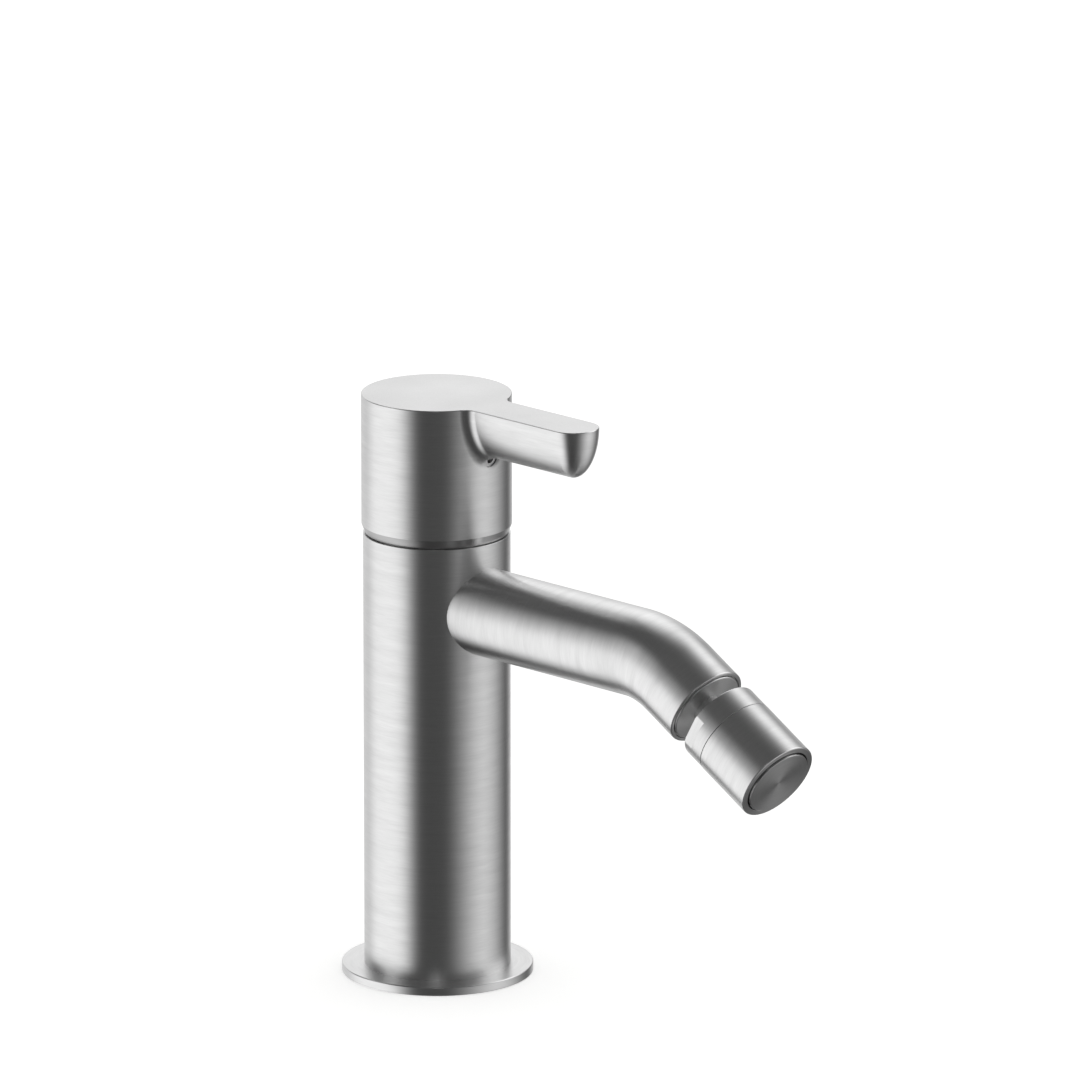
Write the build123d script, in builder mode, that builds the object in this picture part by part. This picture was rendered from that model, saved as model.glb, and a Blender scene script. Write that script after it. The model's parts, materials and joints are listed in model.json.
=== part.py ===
from build123d import *
import math
import os

# Bidet mixer with a turning lever and a ball-jointed nozzle, in millimetres.
# The origin is the centre of the underside, on the column's axis, and +Z is up.
# The spout and the lever point to -Y, and +X is to the right of a person facing the spout.

# Column and base flange
body_diameter = 38.0
body_wall = 2.0
body_height = 117.5
body_edge_break = 0.1
flange_overhang = 5.85
flange_thickness = 2.3
flange_edge_break = 0.25

# Head and lever
neck_gap = 0.3
head_overhang = 0.4
head_height = 36.6
head_edge_break = 0.25
skirt_chamfer = 0.9
skirt_chamfer_height = 2.2
skirt_lip = 0.5
skirt_wall = 2.3
lever_width = 13.2
lever_depth = 13.3
lever_reach = 56.2
lever_root_fillet = 4.0

# Spout
spout_diameter = 22.8
spout_wall = 1.0
spout_drop = 18.0
spout_elbow_reach = 80.4
spout_bend_angle = 30.0
spout_bend_radius = 30.0
spout_tail_length = 19.3
spout_edge_break = 0.4

# Nozzle, outside
swivel_gap = 5.1
collar_diameter = 22.4
collar_length = 6.6
collar_edge_break = 0.4
spanner_size = 20.6
spanner_flat_length = 3.0
sleeve_diameter = 22.5
sleeve_length = 17.3
sleeve_edge_break = 0.3

# Clearances: fits that slide or turn, pieces that are pushed together, and open space
running_clearance = 0.05
ball_clearance = 0.03
seating_clearance = 0.1
open_clearance = 0.3

# Base plug with the fixing thread and the two inlet threads (walls at tapping size)
plug_height = 24.0
plug_head_height = 1.0
plug_head_overhang = 1.4
fixing_hole_radius = 3.4
fixing_hole_depth = 14.0
inlet_edge_wall = 2.65
inlet_web = 1.85
inlet_depth = 12.0
tie_rod_radius = 3.0
tie_rod_engagement = 7.5

# Risers from plug to valve block
riser_step = 0.5
riser_wall = 0.8
riser_socket_depth = 6.0
riser_groove_depth = 0.9
riser_groove_width = 1.6
riser_groove_inset = 2.0

# Seals
deck_seal_width = 2.0
deck_seal_height = 1.2
body_groove_depth = 1.6
body_groove_width = 2.2
plug_groove_height = 17.5
block_low_groove_height = 3.4
block_top_groove_drop = 5.2

# Valve block
block_drop = 15.5
outlet_radius = 4.5
cartridge_seat_depth = 5.5
block_neck_height = 8.0
block_neck_wall = 2.0

# Cartridge (its radius is a share of the column's bore, its spindle's radii are shares of the
# ceramic discs' radius)
cartridge_share = 0.676
cartridge_wall = 1.6
cartridge_base_thickness = 2.5
port_web = 0.8
port_lap = 0.2
port_seal_width = 1.0
port_seal_height = 1.0
locating_pin_radius = 1.1
locating_pin_length = 2.5
disc_gasket_thickness = 0.8
disc_thickness = 3.5
disc_pocket_depth = 2.0
disc_edge_width = 0.9
cold_window_start = 22.0
hot_window_start = 242.0
window_sweep = 65.0
drive_tongue_width = 3.0
drive_tongue_height = 1.2
driver_thickness = 3.0
stop_lug_half_angle = 6.0
stop_lug_reach = 0.9
handle_turn = 100.0
stop_play_angle = 0.5
spindle_flange_share = 0.78
spindle_flange_thickness = 1.5
spindle_share = 0.52
spline_share = 0.44
spline_sides = 12
spindle_seal_section = 0.55
spindle_seal_inset = 1.8
thrust_washer_thickness = 0.5
housing_lid_thickness = 1.7
housing_collar_height = 2.5
housing_collar_wall = 2.4

# Neck ring, guide bush and cartridge nut
neck_ring_thickness = 0.8
guide_bush_height = 2.6
guide_bush_thickness = 0.6
nut_wall = 1.25
nut_flange_thickness = 2.0
nut_slot_width = 3.0
nut_slot_depth = 1.2
nut_slots = 4

# Handle insert and set screw
insert_wall = 3.75
insert_lid_thickness = 2.2
head_lid_thickness = 5.2
head_ceiling_gap = 1.5
set_screw_tilt = 15.0
set_screw_radius = 2.0
set_screw_recess = 1.0
hex_socket_size = 2.0
hex_socket_depth = 2.0

# Spout end plate and swivel stem
end_plate_length = 7.2
end_plate_proud = 0.3
end_plate_rim_gap = 0.25
end_plate_rim_depth = 1.0
end_plate_chamfer = 0.4
end_plate_groove_height = 2.4
end_plate_groove_width = 2.2
end_plate_groove_depth = 1.4
ball_radius = 7.0
ball_inset = 4.2
stem_neck_radius = 4.0
stem_thread_radius = 5.0
stem_thread_length = 6.7
stem_bore_radius = 2.75

# Ball seats
rear_seat_thickness = 0.97
rear_seat_back = 3.4
rear_seat_front = 0.9
front_seat_back = 1.7
front_seat_front = 6.3
front_seat_bore_radius = 3.6
seat_seal_thickness = 1.5

# Nozzle, inside
sleeve_thread_radius = 9.5
sleeve_shoulder_thickness = 1.6
sleeve_shoulder_radius = 5.5
insert_bore_radius = 9.2
insert_seal_thickness = 1.0
insert_seal_width = 2.5
screen_thickness = 0.6
screen_radius = 7.5
screen_hole_radius = 0.6
screen_hole_pitch = 2.0
flow_insert_thickness = 5.0
flow_hole_radius = 1.1
flow_hole_circle_radius = 6.2
flow_holes = 8
flow_post_radius = 3.0
mouth_gap = 0.3
mouth_rim_width = 1.75
face_disc_thickness = 1.4
face_disc_proud = 0.5
face_disc_edge_break = 0.3
face_stud_radius = 1.5
face_stud_length = 5.0

overrun = 1.0

# Radii and heights that follow from the sizes above
body_radius = body_diameter / 2
body_bore_radius = body_radius - body_wall
flange_radius = body_radius + flange_overhang
plug_radius = body_bore_radius - seating_clearance
plug_head_radius = body_bore_radius + plug_head_overhang
inlet_radius = (plug_radius - inlet_edge_wall - inlet_web - fixing_hole_radius) / 2
inlet_offset = fixing_hole_radius + inlet_web + inlet_radius
riser_radius = inlet_radius - riser_step
riser_bore_radius = riser_radius - riser_wall
riser_socket_radius = riser_radius + running_clearance

head_radius = body_radius + head_overhang
head_bore_radius = head_radius - skirt_wall
head_bottom = body_height + neck_gap
head_top = head_bottom + head_height
lever_half_width = lever_width / 2
lever_tip_centre = lever_reach - lever_half_width

spout_radius = spout_diameter / 2
spout_bore_radius = spout_radius - spout_wall
spout_height = body_height - spout_drop
block_bottom = spout_height - block_drop
riser_bottom = plug_height - riser_socket_depth
riser_top = block_bottom + riser_socket_depth

cartridge_radius = cartridge_share * body_bore_radius
block_bore_radius = cartridge_radius + seating_clearance
block_neck_radius = block_bore_radius + block_neck_wall
nut_bore_radius = block_neck_radius + running_clearance
nut_radius = nut_bore_radius + nut_wall
guide_bush_radius = head_bore_radius - running_clearance
neck_spigot_radius = guide_bush_radius - guide_bush_thickness

cartridge_bottom = body_height - cartridge_seat_depth
gasket_bottom = cartridge_bottom + cartridge_base_thickness
fixed_disc_bottom = gasket_bottom + disc_gasket_thickness
moving_disc_bottom = fixed_disc_bottom + disc_thickness
driver_bottom = moving_disc_bottom + disc_thickness
spindle_bottom = driver_bottom + driver_thickness
washer_bottom = spindle_bottom + spindle_flange_thickness
housing_lid_bottom = washer_bottom + thrust_washer_thickness
housing_lid_top = housing_lid_bottom + housing_lid_thickness
housing_top = housing_lid_top + housing_collar_height
housing_bore_radius = cartridge_radius - cartridge_wall
disc_radius = housing_bore_radius - open_clearance
disc_pocket_radius = disc_radius - disc_edge_width
spindle_flange_radius = spindle_flange_share * disc_radius
spindle_radius = spindle_share * disc_radius
spline_radius = spline_share * disc_radius
insert_radius = spline_radius + insert_wall
spindle_bore_radius = spindle_radius + running_clearance
housing_collar_radius = spindle_bore_radius + housing_collar_wall

# Three ports in a row: the outer two reach the pockets' rim, with a web between the seals.
port_pitch = (disc_pocket_radius - port_lap + port_seal_width + port_web / 2) / 1.5
port_radius = (port_pitch - port_web) / 2 - port_seal_width

head_ceiling = housing_top + head_ceiling_gap
insert_top = head_top - head_lid_thickness
spline_top = insert_top - insert_lid_thickness

neck_recess_radius = head_radius - skirt_chamfer - skirt_lip
neck_ring_radius = neck_recess_radius - open_clearance
neck_ring_top = body_height + neck_ring_thickness
guide_bush_bottom = neck_ring_top
guide_bush_top = guide_bush_bottom + guide_bush_height
nut_top = housing_lid_top + nut_flange_thickness

# The nozzle's frame: its origin is where the centre lines of the spout's two straight
# stretches meet, and its Z axis runs down the second one, out of the nozzle's mouth.
slope = math.radians(spout_bend_angle)
elbow = Vector(0, -spout_elbow_reach, spout_height)
nozzle = Plane(origin=elbow, x_dir=(1, 0, 0), z_dir=(0, -math.cos(slope), -math.sin(slope)))
collar_rear = spout_tail_length + swivel_gap
collar_front = collar_rear + collar_length
sleeve_front = collar_front + sleeve_length
ball_centre = collar_rear + ball_inset
plate_front = spout_tail_length + end_plate_proud
plate_rear = plate_front - end_plate_length
plate_radius = spout_bore_radius - running_clearance
plate_rim_radius = plate_radius - end_plate_rim_gap
collar_radius = collar_diameter / 2
sleeve_radius = sleeve_diameter / 2
seat_bore_radius = ball_radius + ball_clearance
rear_seat_radius = seat_bore_radius + rear_seat_thickness
socket_radius = rear_seat_radius + ball_clearance
sleeve_bore_radius = rear_seat_radius + running_clearance
seat_seal_rear = ball_centre + front_seat_front
shoulder_rear = seat_seal_rear + seat_seal_thickness
shoulder_front = shoulder_rear + sleeve_shoulder_thickness
insert_rear = shoulder_front + insert_seal_thickness
insert_front = insert_rear + flow_insert_thickness
disc_front = sleeve_front + face_disc_proud
disc_rear = disc_front - face_disc_thickness
mouth_radius = sleeve_radius - mouth_rim_width
face_disc_radius = mouth_radius - mouth_gap
mouth_depth_start = insert_front + mouth_gap


def turn(outline, frame=Plane.XY, mode=Mode.ADD):
    """Carry an outline of (radius, height) points once round the frame's Z axis."""
    section = Plane(origin=frame.origin, x_dir=frame.x_dir, z_dir=-frame.y_dir)
    with BuildSketch(section) as profile:
        with BuildLine():
            Polyline(*outline, close=True)
        make_face()
    revolve(profile.sketch, axis=Axis(frame.origin, frame.z_dir), mode=mode)


def bar(radius, start, end, frame=Plane.XY, centre=(0, 0), mode=Mode.ADD):
    """A round bar, or a bore, along the frame's Z axis from start to end."""
    with BuildSketch(frame.offset(start)) as section:
        with Locations(centre):
            Circle(radius)
    extrude(section.sketch, amount=end - start, mode=mode)


def ring(outer, inner, start, end, frame=Plane.XY, mode=Mode.ADD):
    """A plain ring round the frame's Z axis."""
    with BuildSketch(frame.offset(start)) as section:
        Circle(outer)
        Circle(inner, mode=Mode.SUBTRACT)
    extrude(section.sketch, amount=end - start, mode=mode)


def sector(radius, first_angle, sweep, start, end, mode=Mode.ADD):
    """A slice of pie round the column's axis, from first_angle on through sweep degrees."""
    with BuildSketch(Plane.XY.offset(start)) as section:
        with BuildLine():
            arc = CenterArc((0, 0), radius, first_angle, sweep)
            Line((0, 0), arc @ 0)
            Line(arc @ 1, (0, 0))
        make_face()
    extrude(section.sketch, amount=end - start, mode=mode)


def ball(radius, frame, height, mode=Mode.ADD):
    """A ball whose centre lies on the frame's Z axis."""
    with Locations(frame.location * Location((0, 0, height))):
        Sphere(radius, mode=mode)


def o_ring(centre_radius, section_radius, height, frame=Plane.XY):
    """An O-ring round the frame's Z axis, at the given height."""
    with Locations(frame.location * Location((0, 0, height))):
        Torus(centre_radius, section_radius)


def keep(piece, name):
    """Label a finished piece and write it under its own name."""
    piece.part.label = name
    export_step(piece.part, f"parts/{name}.step")


os.makedirs("parts", exist_ok=True)

# Base flange: the tube stands on it, and the plug's head clamps it from below.
with BuildPart() as base_flange:
    ring(flange_radius, plug_radius + seating_clearance, 0, flange_thickness)
    chamfer(base_flange.edges().group_by(Axis.Z)[-1].sort_by(SortBy.RADIUS)[-1], flange_edge_break)
    bar(plug_head_radius + seating_clearance, 0, plug_head_height, mode=Mode.SUBTRACT)
    seal_groove_centre = (plug_head_radius + flange_radius) / 2
    seal_groove_half_width = deck_seal_width / 2 + running_clearance
    ring(
        seal_groove_centre + seal_groove_half_width,
        seal_groove_centre - seal_groove_half_width,
        0,
        deck_seal_height,
        mode=Mode.SUBTRACT,
    )
keep(base_flange, "base_flange")

with BuildPart() as deck_seal:
    ring(
        seal_groove_centre + deck_seal_width / 2,
        seal_groove_centre - deck_seal_width / 2,
        0,
        deck_seal_height,
    )
keep(deck_seal, "deck_seal")

# Column tube, with the round opening that the spout is welded round.
with BuildPart() as body_tube:
    ring(body_radius, body_bore_radius, flange_thickness, body_height)
    chamfer(body_tube.edges().group_by(Axis.Z)[-1].sort_by(SortBy.RADIUS)[-1], body_edge_break)
    spout_axis = Plane(origin=(0, 0, spout_height), x_dir=(1, 0, 0), z_dir=(0, -1, 0))
    bar(spout_bore_radius, 0, body_radius + overrun, frame=spout_axis, mode=Mode.SUBTRACT)
keep(body_tube, "body_tube")

# Spout tube: a straight stretch coped to the column, a bend, and a straight tail.
with BuildPart() as spout_tube:
    with BuildLine() as spout_path:
        tail_end = nozzle.location * Location((0, 0, spout_tail_length))
        FilletPolyline(
            (0, 0, spout_height), elbow, tail_end.position, radius=spout_bend_radius
        )
    with BuildSketch(spout_axis):
        Circle(spout_radius)
        Circle(spout_bore_radius, mode=Mode.SUBTRACT)
    sweep()
    bar(body_radius, 0, body_height, mode=Mode.SUBTRACT)
    spout_mouth = Axis(nozzle.origin, nozzle.z_dir)
    chamfer(
        spout_tube.edges().group_by(spout_mouth)[-1].sort_by(SortBy.RADIUS)[-1],
        spout_edge_break,
    )
keep(spout_tube, "spout_tube")

# Base plug: fixing thread in the middle, inlet threads at the sides, riser sockets on top.
with BuildPart() as base_plug:
    groove_floor = plug_radius - body_groove_depth
    turn(
        [
            (0, 0),
            (plug_head_radius, 0),
            (plug_head_radius, plug_head_height),
            (plug_radius, plug_head_height),
            (plug_radius, plug_groove_height),
            (groove_floor, plug_groove_height),
            (groove_floor, plug_groove_height + body_groove_width),
            (plug_radius, plug_groove_height + body_groove_width),
            (plug_radius, plug_height),
            (0, plug_height),
        ]
    )
    bar(fixing_hole_radius, 0, fixing_hole_depth, mode=Mode.SUBTRACT)
    bar(tie_rod_radius, plug_height - tie_rod_engagement, plug_height, mode=Mode.SUBTRACT)
    for side in (-inlet_offset, inlet_offset):
        riser_groove = riser_bottom + riser_groove_inset
        bar(inlet_radius, 0, inlet_depth, centre=(side, 0), mode=Mode.SUBTRACT)
        bar(riser_bore_radius, inlet_depth, riser_bottom, centre=(side, 0), mode=Mode.SUBTRACT)
        bar(riser_socket_radius, riser_bottom, plug_height, centre=(side, 0), mode=Mode.SUBTRACT)
        bar(
            riser_radius + riser_groove_depth,
            riser_groove,
            riser_groove + riser_groove_width,
            centre=(side, 0),
            mode=Mode.SUBTRACT,
        )
keep(base_plug, "base_plug")

body_seal_section = (body_groove_depth + seating_clearance) / 2 - running_clearance / 2
body_seal_radius = body_bore_radius - body_seal_section - running_clearance / 2
with BuildPart() as plug_seal:
    o_ring(body_seal_radius, body_seal_section, plug_groove_height + body_groove_width / 2)
keep(plug_seal, "plug_seal")

with BuildPart() as tie_rod:
    bar(tie_rod_radius, plug_height - tie_rod_engagement, block_bottom + tie_rod_engagement)
keep(tie_rod, "tie_rod")

# Risers: hot to the left, cold to the right, as seen by the user.
for name, side in (("hot_supply_tube", -inlet_offset), ("cold_supply_tube", inlet_offset)):
    with BuildPart() as riser:
        bar(riser_radius, riser_bottom, riser_top, centre=(side, 0))
        bar(riser_bore_radius, riser_bottom, riser_top, centre=(side, 0), mode=Mode.SUBTRACT)
    keep(riser, name)

with BuildPart() as supply_seals:
    riser_seal_section = (riser_groove_depth - running_clearance) / 2
    low_seal = riser_bottom + riser_groove_inset + riser_groove_width / 2
    high_seal = riser_top - riser_groove_inset - riser_groove_width / 2
    for side in (-inlet_offset, inlet_offset):
        for height in (low_seal, high_seal):
            with Locations((side, 0, height)):
                Torus(riser_radius + riser_groove_depth / 2, riser_seal_section)
keep(supply_seals, "supply_seals")

# Valve block: slanting channels up to the cartridge, and the outlet down and out to the spout.
with BuildPart() as valve_block:
    groove_floor = plug_radius - body_groove_depth
    low_groove = block_bottom + block_low_groove_height
    top_groove = body_height - block_top_groove_drop
    turn(
        [
            (0, block_bottom),
            (plug_radius, block_bottom),
            (plug_radius, low_groove),
            (groove_floor, low_groove),
            (groove_floor, low_groove + body_groove_width),
            (plug_radius, low_groove + body_groove_width),
            (plug_radius, top_groove),
            (groove_floor, top_groove),
            (groove_floor, top_groove + body_groove_width),
            (plug_radius, top_groove + body_groove_width),
            (plug_radius, body_height),
            (block_neck_radius, body_height),
            (block_neck_radius, body_height + block_neck_height),
            (block_bore_radius, body_height + block_neck_height),
            (block_bore_radius, cartridge_bottom),
            (0, cartridge_bottom),
        ]
    )
    bar(tie_rod_radius, block_bottom, block_bottom + tie_rod_engagement, mode=Mode.SUBTRACT)
    bar(port_radius, spout_height, cartridge_bottom, mode=Mode.SUBTRACT)
    bar(outlet_radius, 0, body_bore_radius, frame=spout_axis, mode=Mode.SUBTRACT)
    bar(
        locating_pin_radius + running_clearance,
        cartridge_bottom - locating_pin_length - open_clearance,
        cartridge_bottom,
        centre=(0, port_pitch),
        mode=Mode.SUBTRACT,
    )
    for side in (-1, 1):
        riser_groove = riser_top - riser_groove_inset - riser_groove_width
        riser_centre = (side * inlet_offset, 0)
        bar(riser_socket_radius, block_bottom, riser_top, centre=riser_centre, mode=Mode.SUBTRACT)
        bar(
            riser_radius + riser_groove_depth,
            riser_groove,
            riser_groove + riser_groove_width,
            centre=riser_centre,
            mode=Mode.SUBTRACT,
        )
        foot = Vector(side * inlet_offset, 0, riser_top - overrun)
        mouth = Vector(side * port_pitch, 0, cartridge_bottom)
        slant = Plane(origin=foot, z_dir=mouth - foot)
        bar(port_radius, 0, (mouth - foot).length + overrun, frame=slant, mode=Mode.SUBTRACT)
keep(valve_block, "valve_block")

with BuildPart() as block_seals:
    for height in (low_groove, top_groove):
        o_ring(body_seal_radius, body_seal_section, height + body_groove_width / 2)
keep(block_seals, "block_seals")

# Neck ring: it holds the block to the column's rim, inside the lip of the head's skirt, and its
# spigot carries the bush.
with BuildPart() as neck_ring:
    turn(
        [
            (nut_bore_radius, body_height),
            (neck_ring_radius, body_height),
            (neck_ring_radius, neck_ring_top),
            (neck_spigot_radius, neck_ring_top),
            (neck_spigot_radius, guide_bush_top),
            (nut_bore_radius, guide_bush_top),
        ]
    )
keep(neck_ring, "neck_ring")

with BuildPart() as guide_bush:
    ring(guide_bush_radius, neck_spigot_radius, guide_bush_bottom, guide_bush_top)
keep(guide_bush, "guide_bush")

# Cartridge nut: screws onto the block's neck and presses the housing down.
with BuildPart() as cartridge_nut:
    turn(
        [
            (nut_bore_radius, guide_bush_top),
            (nut_radius, guide_bush_top),
            (nut_radius, nut_top),
            (housing_collar_radius + open_clearance, nut_top),
            (housing_collar_radius + open_clearance, housing_lid_top),
            (cartridge_radius + open_clearance, housing_lid_top),
            (cartridge_radius + open_clearance, body_height + block_neck_height + open_clearance),
            (nut_bore_radius, body_height + block_neck_height + open_clearance),
        ]
    )
    with BuildSketch(Plane.XY.offset(nut_top)):
        with PolarLocations(nut_radius, nut_slots):
            Rectangle(2 * nut_slot_width, nut_slot_width)
    extrude(amount=-nut_slot_depth, mode=Mode.SUBTRACT)
keep(cartridge_nut, "cartridge_nut")

# Cartridge base: three ports with recesses for their seals, and a locating pin.
port_centres = [(-port_pitch, 0), (0, 0), (port_pitch, 0)]
with BuildPart() as cartridge_base:
    bar(cartridge_radius, cartridge_bottom, gasket_bottom)
    bar(
        locating_pin_radius,
        cartridge_bottom - locating_pin_length,
        cartridge_bottom,
        centre=(0, port_pitch),
    )
    for centre in port_centres:
        bar(port_radius, cartridge_bottom, gasket_bottom, centre=centre, mode=Mode.SUBTRACT)
        bar(
            port_radius + port_seal_width + running_clearance,
            cartridge_bottom,
            cartridge_bottom + port_seal_height,
            centre=centre,
            mode=Mode.SUBTRACT,
        )
keep(cartridge_base, "cartridge_base")

with BuildPart() as port_seals:
    with BuildSketch(Plane.XY.offset(cartridge_bottom)):
        with Locations(*port_centres):
            Circle(port_radius + port_seal_width)
        with Locations(*port_centres):
            Circle(port_radius, mode=Mode.SUBTRACT)
    extrude(amount=port_seal_height)
keep(port_seals, "port_seals")

# Gasket and fixed ceramic disc: plates with the same three ports.
ported_plates = (
    ("disc_gasket", gasket_bottom, fixed_disc_bottom),
    ("fixed_disc", fixed_disc_bottom, moving_disc_bottom),
)
for name, bottom, top in ported_plates:
    with BuildPart() as plate:
        bar(disc_radius, bottom, top)
        for centre in port_centres:
            bar(port_radius, bottom, top, centre=centre, mode=Mode.SUBTRACT)
    keep(plate, name)

# Moving ceramic disc: its pocket joins the middle port with the cold and hot ports in turn.
with BuildPart() as moving_disc:
    pocket_top = moving_disc_bottom + disc_pocket_depth
    bar(disc_radius, moving_disc_bottom, driver_bottom)
    bar(port_radius, moving_disc_bottom, pocket_top, mode=Mode.SUBTRACT)
    for first_angle in (cold_window_start, hot_window_start):
        sector(
            disc_pocket_radius,
            first_angle,
            window_sweep,
            moving_disc_bottom,
            pocket_top,
            mode=Mode.SUBTRACT,
        )
    with BuildSketch(Plane.XY.offset(driver_bottom)):
        Rectangle(2 * (disc_radius + overrun), drive_tongue_width + 2 * running_clearance)
        Circle(port_pitch, mode=Mode.SUBTRACT)
    extrude(amount=-drive_tongue_height, mode=Mode.SUBTRACT)
keep(moving_disc, "moving_disc")

# Disc driver: two tongues in the moving disc, a slot for the spindle and a stop lug at the back.
with BuildPart() as disc_driver:
    bar(disc_radius, driver_bottom, spindle_bottom)
    with BuildSketch(Plane.XY.offset(driver_bottom)):
        Circle(disc_radius)
        Circle(port_pitch + running_clearance, mode=Mode.SUBTRACT)
        Rectangle(2 * disc_radius, drive_tongue_width, mode=Mode.INTERSECT)
    extrude(amount=-drive_tongue_height)
    lug_radius = housing_bore_radius + stop_lug_reach - open_clearance
    sector(
        lug_radius,
        90 - stop_lug_half_angle,
        2 * stop_lug_half_angle,
        driver_bottom,
        spindle_bottom,
    )
    with BuildSketch(Plane.XY.offset(spindle_bottom)):
        Rectangle(
            drive_tongue_width + 2 * running_clearance,
            2 * spindle_flange_radius + 2 * running_clearance,
        )
    extrude(amount=-drive_tongue_height, mode=Mode.SUBTRACT)
keep(disc_driver, "disc_driver")

# Cartridge housing: the slot in its wall stops the driver's lug at both ends of the turn.
with BuildPart() as cartridge_housing:
    turn(
        [
            (housing_bore_radius, gasket_bottom),
            (cartridge_radius, gasket_bottom),
            (cartridge_radius, housing_lid_top),
            (housing_collar_radius, housing_lid_top),
            (housing_collar_radius, housing_top),
            (spindle_bore_radius, housing_top),
            (spindle_bore_radius, housing_lid_bottom),
            (housing_bore_radius, housing_lid_bottom),
        ]
    )
    sector(
        housing_bore_radius + stop_lug_reach,
        90 - handle_turn - stop_lug_half_angle - stop_play_angle,
        handle_turn + 2 * (stop_lug_half_angle + stop_play_angle),
        driver_bottom,
        spindle_bottom,
        mode=Mode.SUBTRACT,
    )
keep(cartridge_housing, "cartridge_housing")

# Spindle: a flange with a tongue in the driver, a sealed shaft and a splined end.
spindle_seal_height = housing_top - spindle_seal_inset
spindle_groove_floor = spindle_radius - 2 * spindle_seal_section
with BuildPart() as spindle:
    groove_low = spindle_seal_height - spindle_seal_section - running_clearance
    groove_high = spindle_seal_height + spindle_seal_section + running_clearance
    turn(
        [
            (0, spindle_bottom),
            (spindle_flange_radius, spindle_bottom),
            (spindle_flange_radius, washer_bottom),
            (spindle_radius, washer_bottom),
            (spindle_radius, groove_low),
            (spindle_groove_floor, groove_low),
            (spindle_groove_floor, groove_high),
            (spindle_radius, groove_high),
            (spindle_radius, housing_top),
            (0, housing_top),
        ]
    )
    with BuildSketch(Plane.XY.offset(spindle_bottom)):
        Circle(spindle_flange_radius)
        Rectangle(drive_tongue_width, 2 * spindle_flange_radius, mode=Mode.INTERSECT)
    extrude(amount=-drive_tongue_height)
    with BuildSketch(Plane.XY.offset(housing_top)):
        RegularPolygon(spline_radius, spline_sides)
    extrude(amount=spline_top - housing_top)
keep(spindle, "spindle")

with BuildPart() as spindle_seal:
    o_ring(spindle_radius - spindle_seal_section, spindle_seal_section, spindle_seal_height)
keep(spindle_seal, "spindle_seal")

with BuildPart() as thrust_washer:
    ring(spindle_flange_radius, spindle_bore_radius, washer_bottom, housing_lid_bottom)
keep(thrust_washer, "thrust_washer")

# The set screw's frame: it leaves the head through the middle of the fillet below the lever
# and points down a little, so that a key passes under the lever.
screw_slope = math.radians(set_screw_tilt)
fillet_middle = lever_root_fillet * (1 - math.cos(math.radians(45)))
screw_mouth = (0, -head_radius - fillet_middle, head_top - lever_depth - fillet_middle)
screw_axis = Plane(
    origin=screw_mouth, x_dir=(1, 0, 0), z_dir=(0, -math.cos(screw_slope), -math.sin(screw_slope))
)
screw_tip_reach = spline_radius + open_clearance + set_screw_radius * math.sin(screw_slope)
screw_tip = (screw_tip_reach + screw_mouth[1]) / math.cos(screw_slope)

# Splined insert in the head, with the thread for the set screw.
with BuildPart() as handle_insert:
    bar(insert_radius, head_ceiling, insert_top)
    with BuildSketch(Plane.XY.offset(head_ceiling)):
        RegularPolygon(spline_radius + running_clearance, spline_sides)
    extrude(amount=spline_top - head_ceiling, mode=Mode.SUBTRACT)
    bar(set_screw_radius, screw_tip, 0, frame=screw_axis, mode=Mode.SUBTRACT)
keep(handle_insert, "handle_insert")

# Handle: the lever's section is the lower half of an ellipse, flush with the head's top,
# and its tip is that section turned about an upright axis. Head and lever are made taller
# than they are, so that the fillet runs all round the joint, and are then cut to height.
quarter_ellipse_weights = (1, math.cos(math.radians(45)), 1)
with BuildPart() as handle:
    bar(head_radius, head_bottom, head_top + 2 * lever_depth)
    lever_root = Plane(origin=(0, 0, head_top), x_dir=(1, 0, 0), z_dir=(0, -1, 0))
    lever_tip = lever_root.offset(lever_tip_centre)
    with BuildSketch(lever_root):
        Ellipse(lever_half_width, lever_depth)
    extrude(amount=lever_tip_centre)
    with BuildSketch(lever_tip):
        with BuildLine():
            low_arc = Bezier(
                (0, -lever_depth),
                (lever_half_width, -lever_depth),
                (lever_half_width, 0),
                weights=quarter_ellipse_weights,
            )
            high_arc = Bezier(
                (lever_half_width, 0),
                (lever_half_width, lever_depth),
                (0, lever_depth),
                weights=quarter_ellipse_weights,
            )
            Line(high_arc @ 1, low_arc @ 0)
        make_face()
    revolve(axis=Axis(lever_tip.origin, (0, 0, -1)), revolution_arc=180)
    fillet(handle.edges().filter_by(GeomType.BSPLINE), lever_root_fillet)
    split(bisect_by=Plane.XY.offset(head_top), keep=Keep.BOTTOM)
    chamfer(handle.edges().group_by(Axis.Z)[-1], head_edge_break)
    skirt_face = handle.faces().sort_by(Axis.Z)[0]
    chamfer(skirt_face.edges(), skirt_chamfer, skirt_chamfer_height, reference=skirt_face)
    bar(head_bore_radius, head_bottom, head_ceiling, mode=Mode.SUBTRACT)
    bar(neck_recess_radius, head_bottom, neck_ring_top + open_clearance, mode=Mode.SUBTRACT)
    bar(insert_radius + running_clearance, head_ceiling, insert_top, mode=Mode.SUBTRACT)
    bar(set_screw_radius, screw_tip, 2 * lever_root_fillet, frame=screw_axis, mode=Mode.SUBTRACT)
keep(handle, "handle")

with BuildPart() as set_screw:
    bar(set_screw_radius - running_clearance, screw_tip, -set_screw_recess, frame=screw_axis)
    with BuildSketch(screw_axis.offset(-set_screw_recess)):
        RegularPolygon(hex_socket_size / 2, 6, major_radius=False)
    extrude(amount=-hex_socket_depth, mode=Mode.SUBTRACT)
keep(set_screw, "set_screw")

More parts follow.
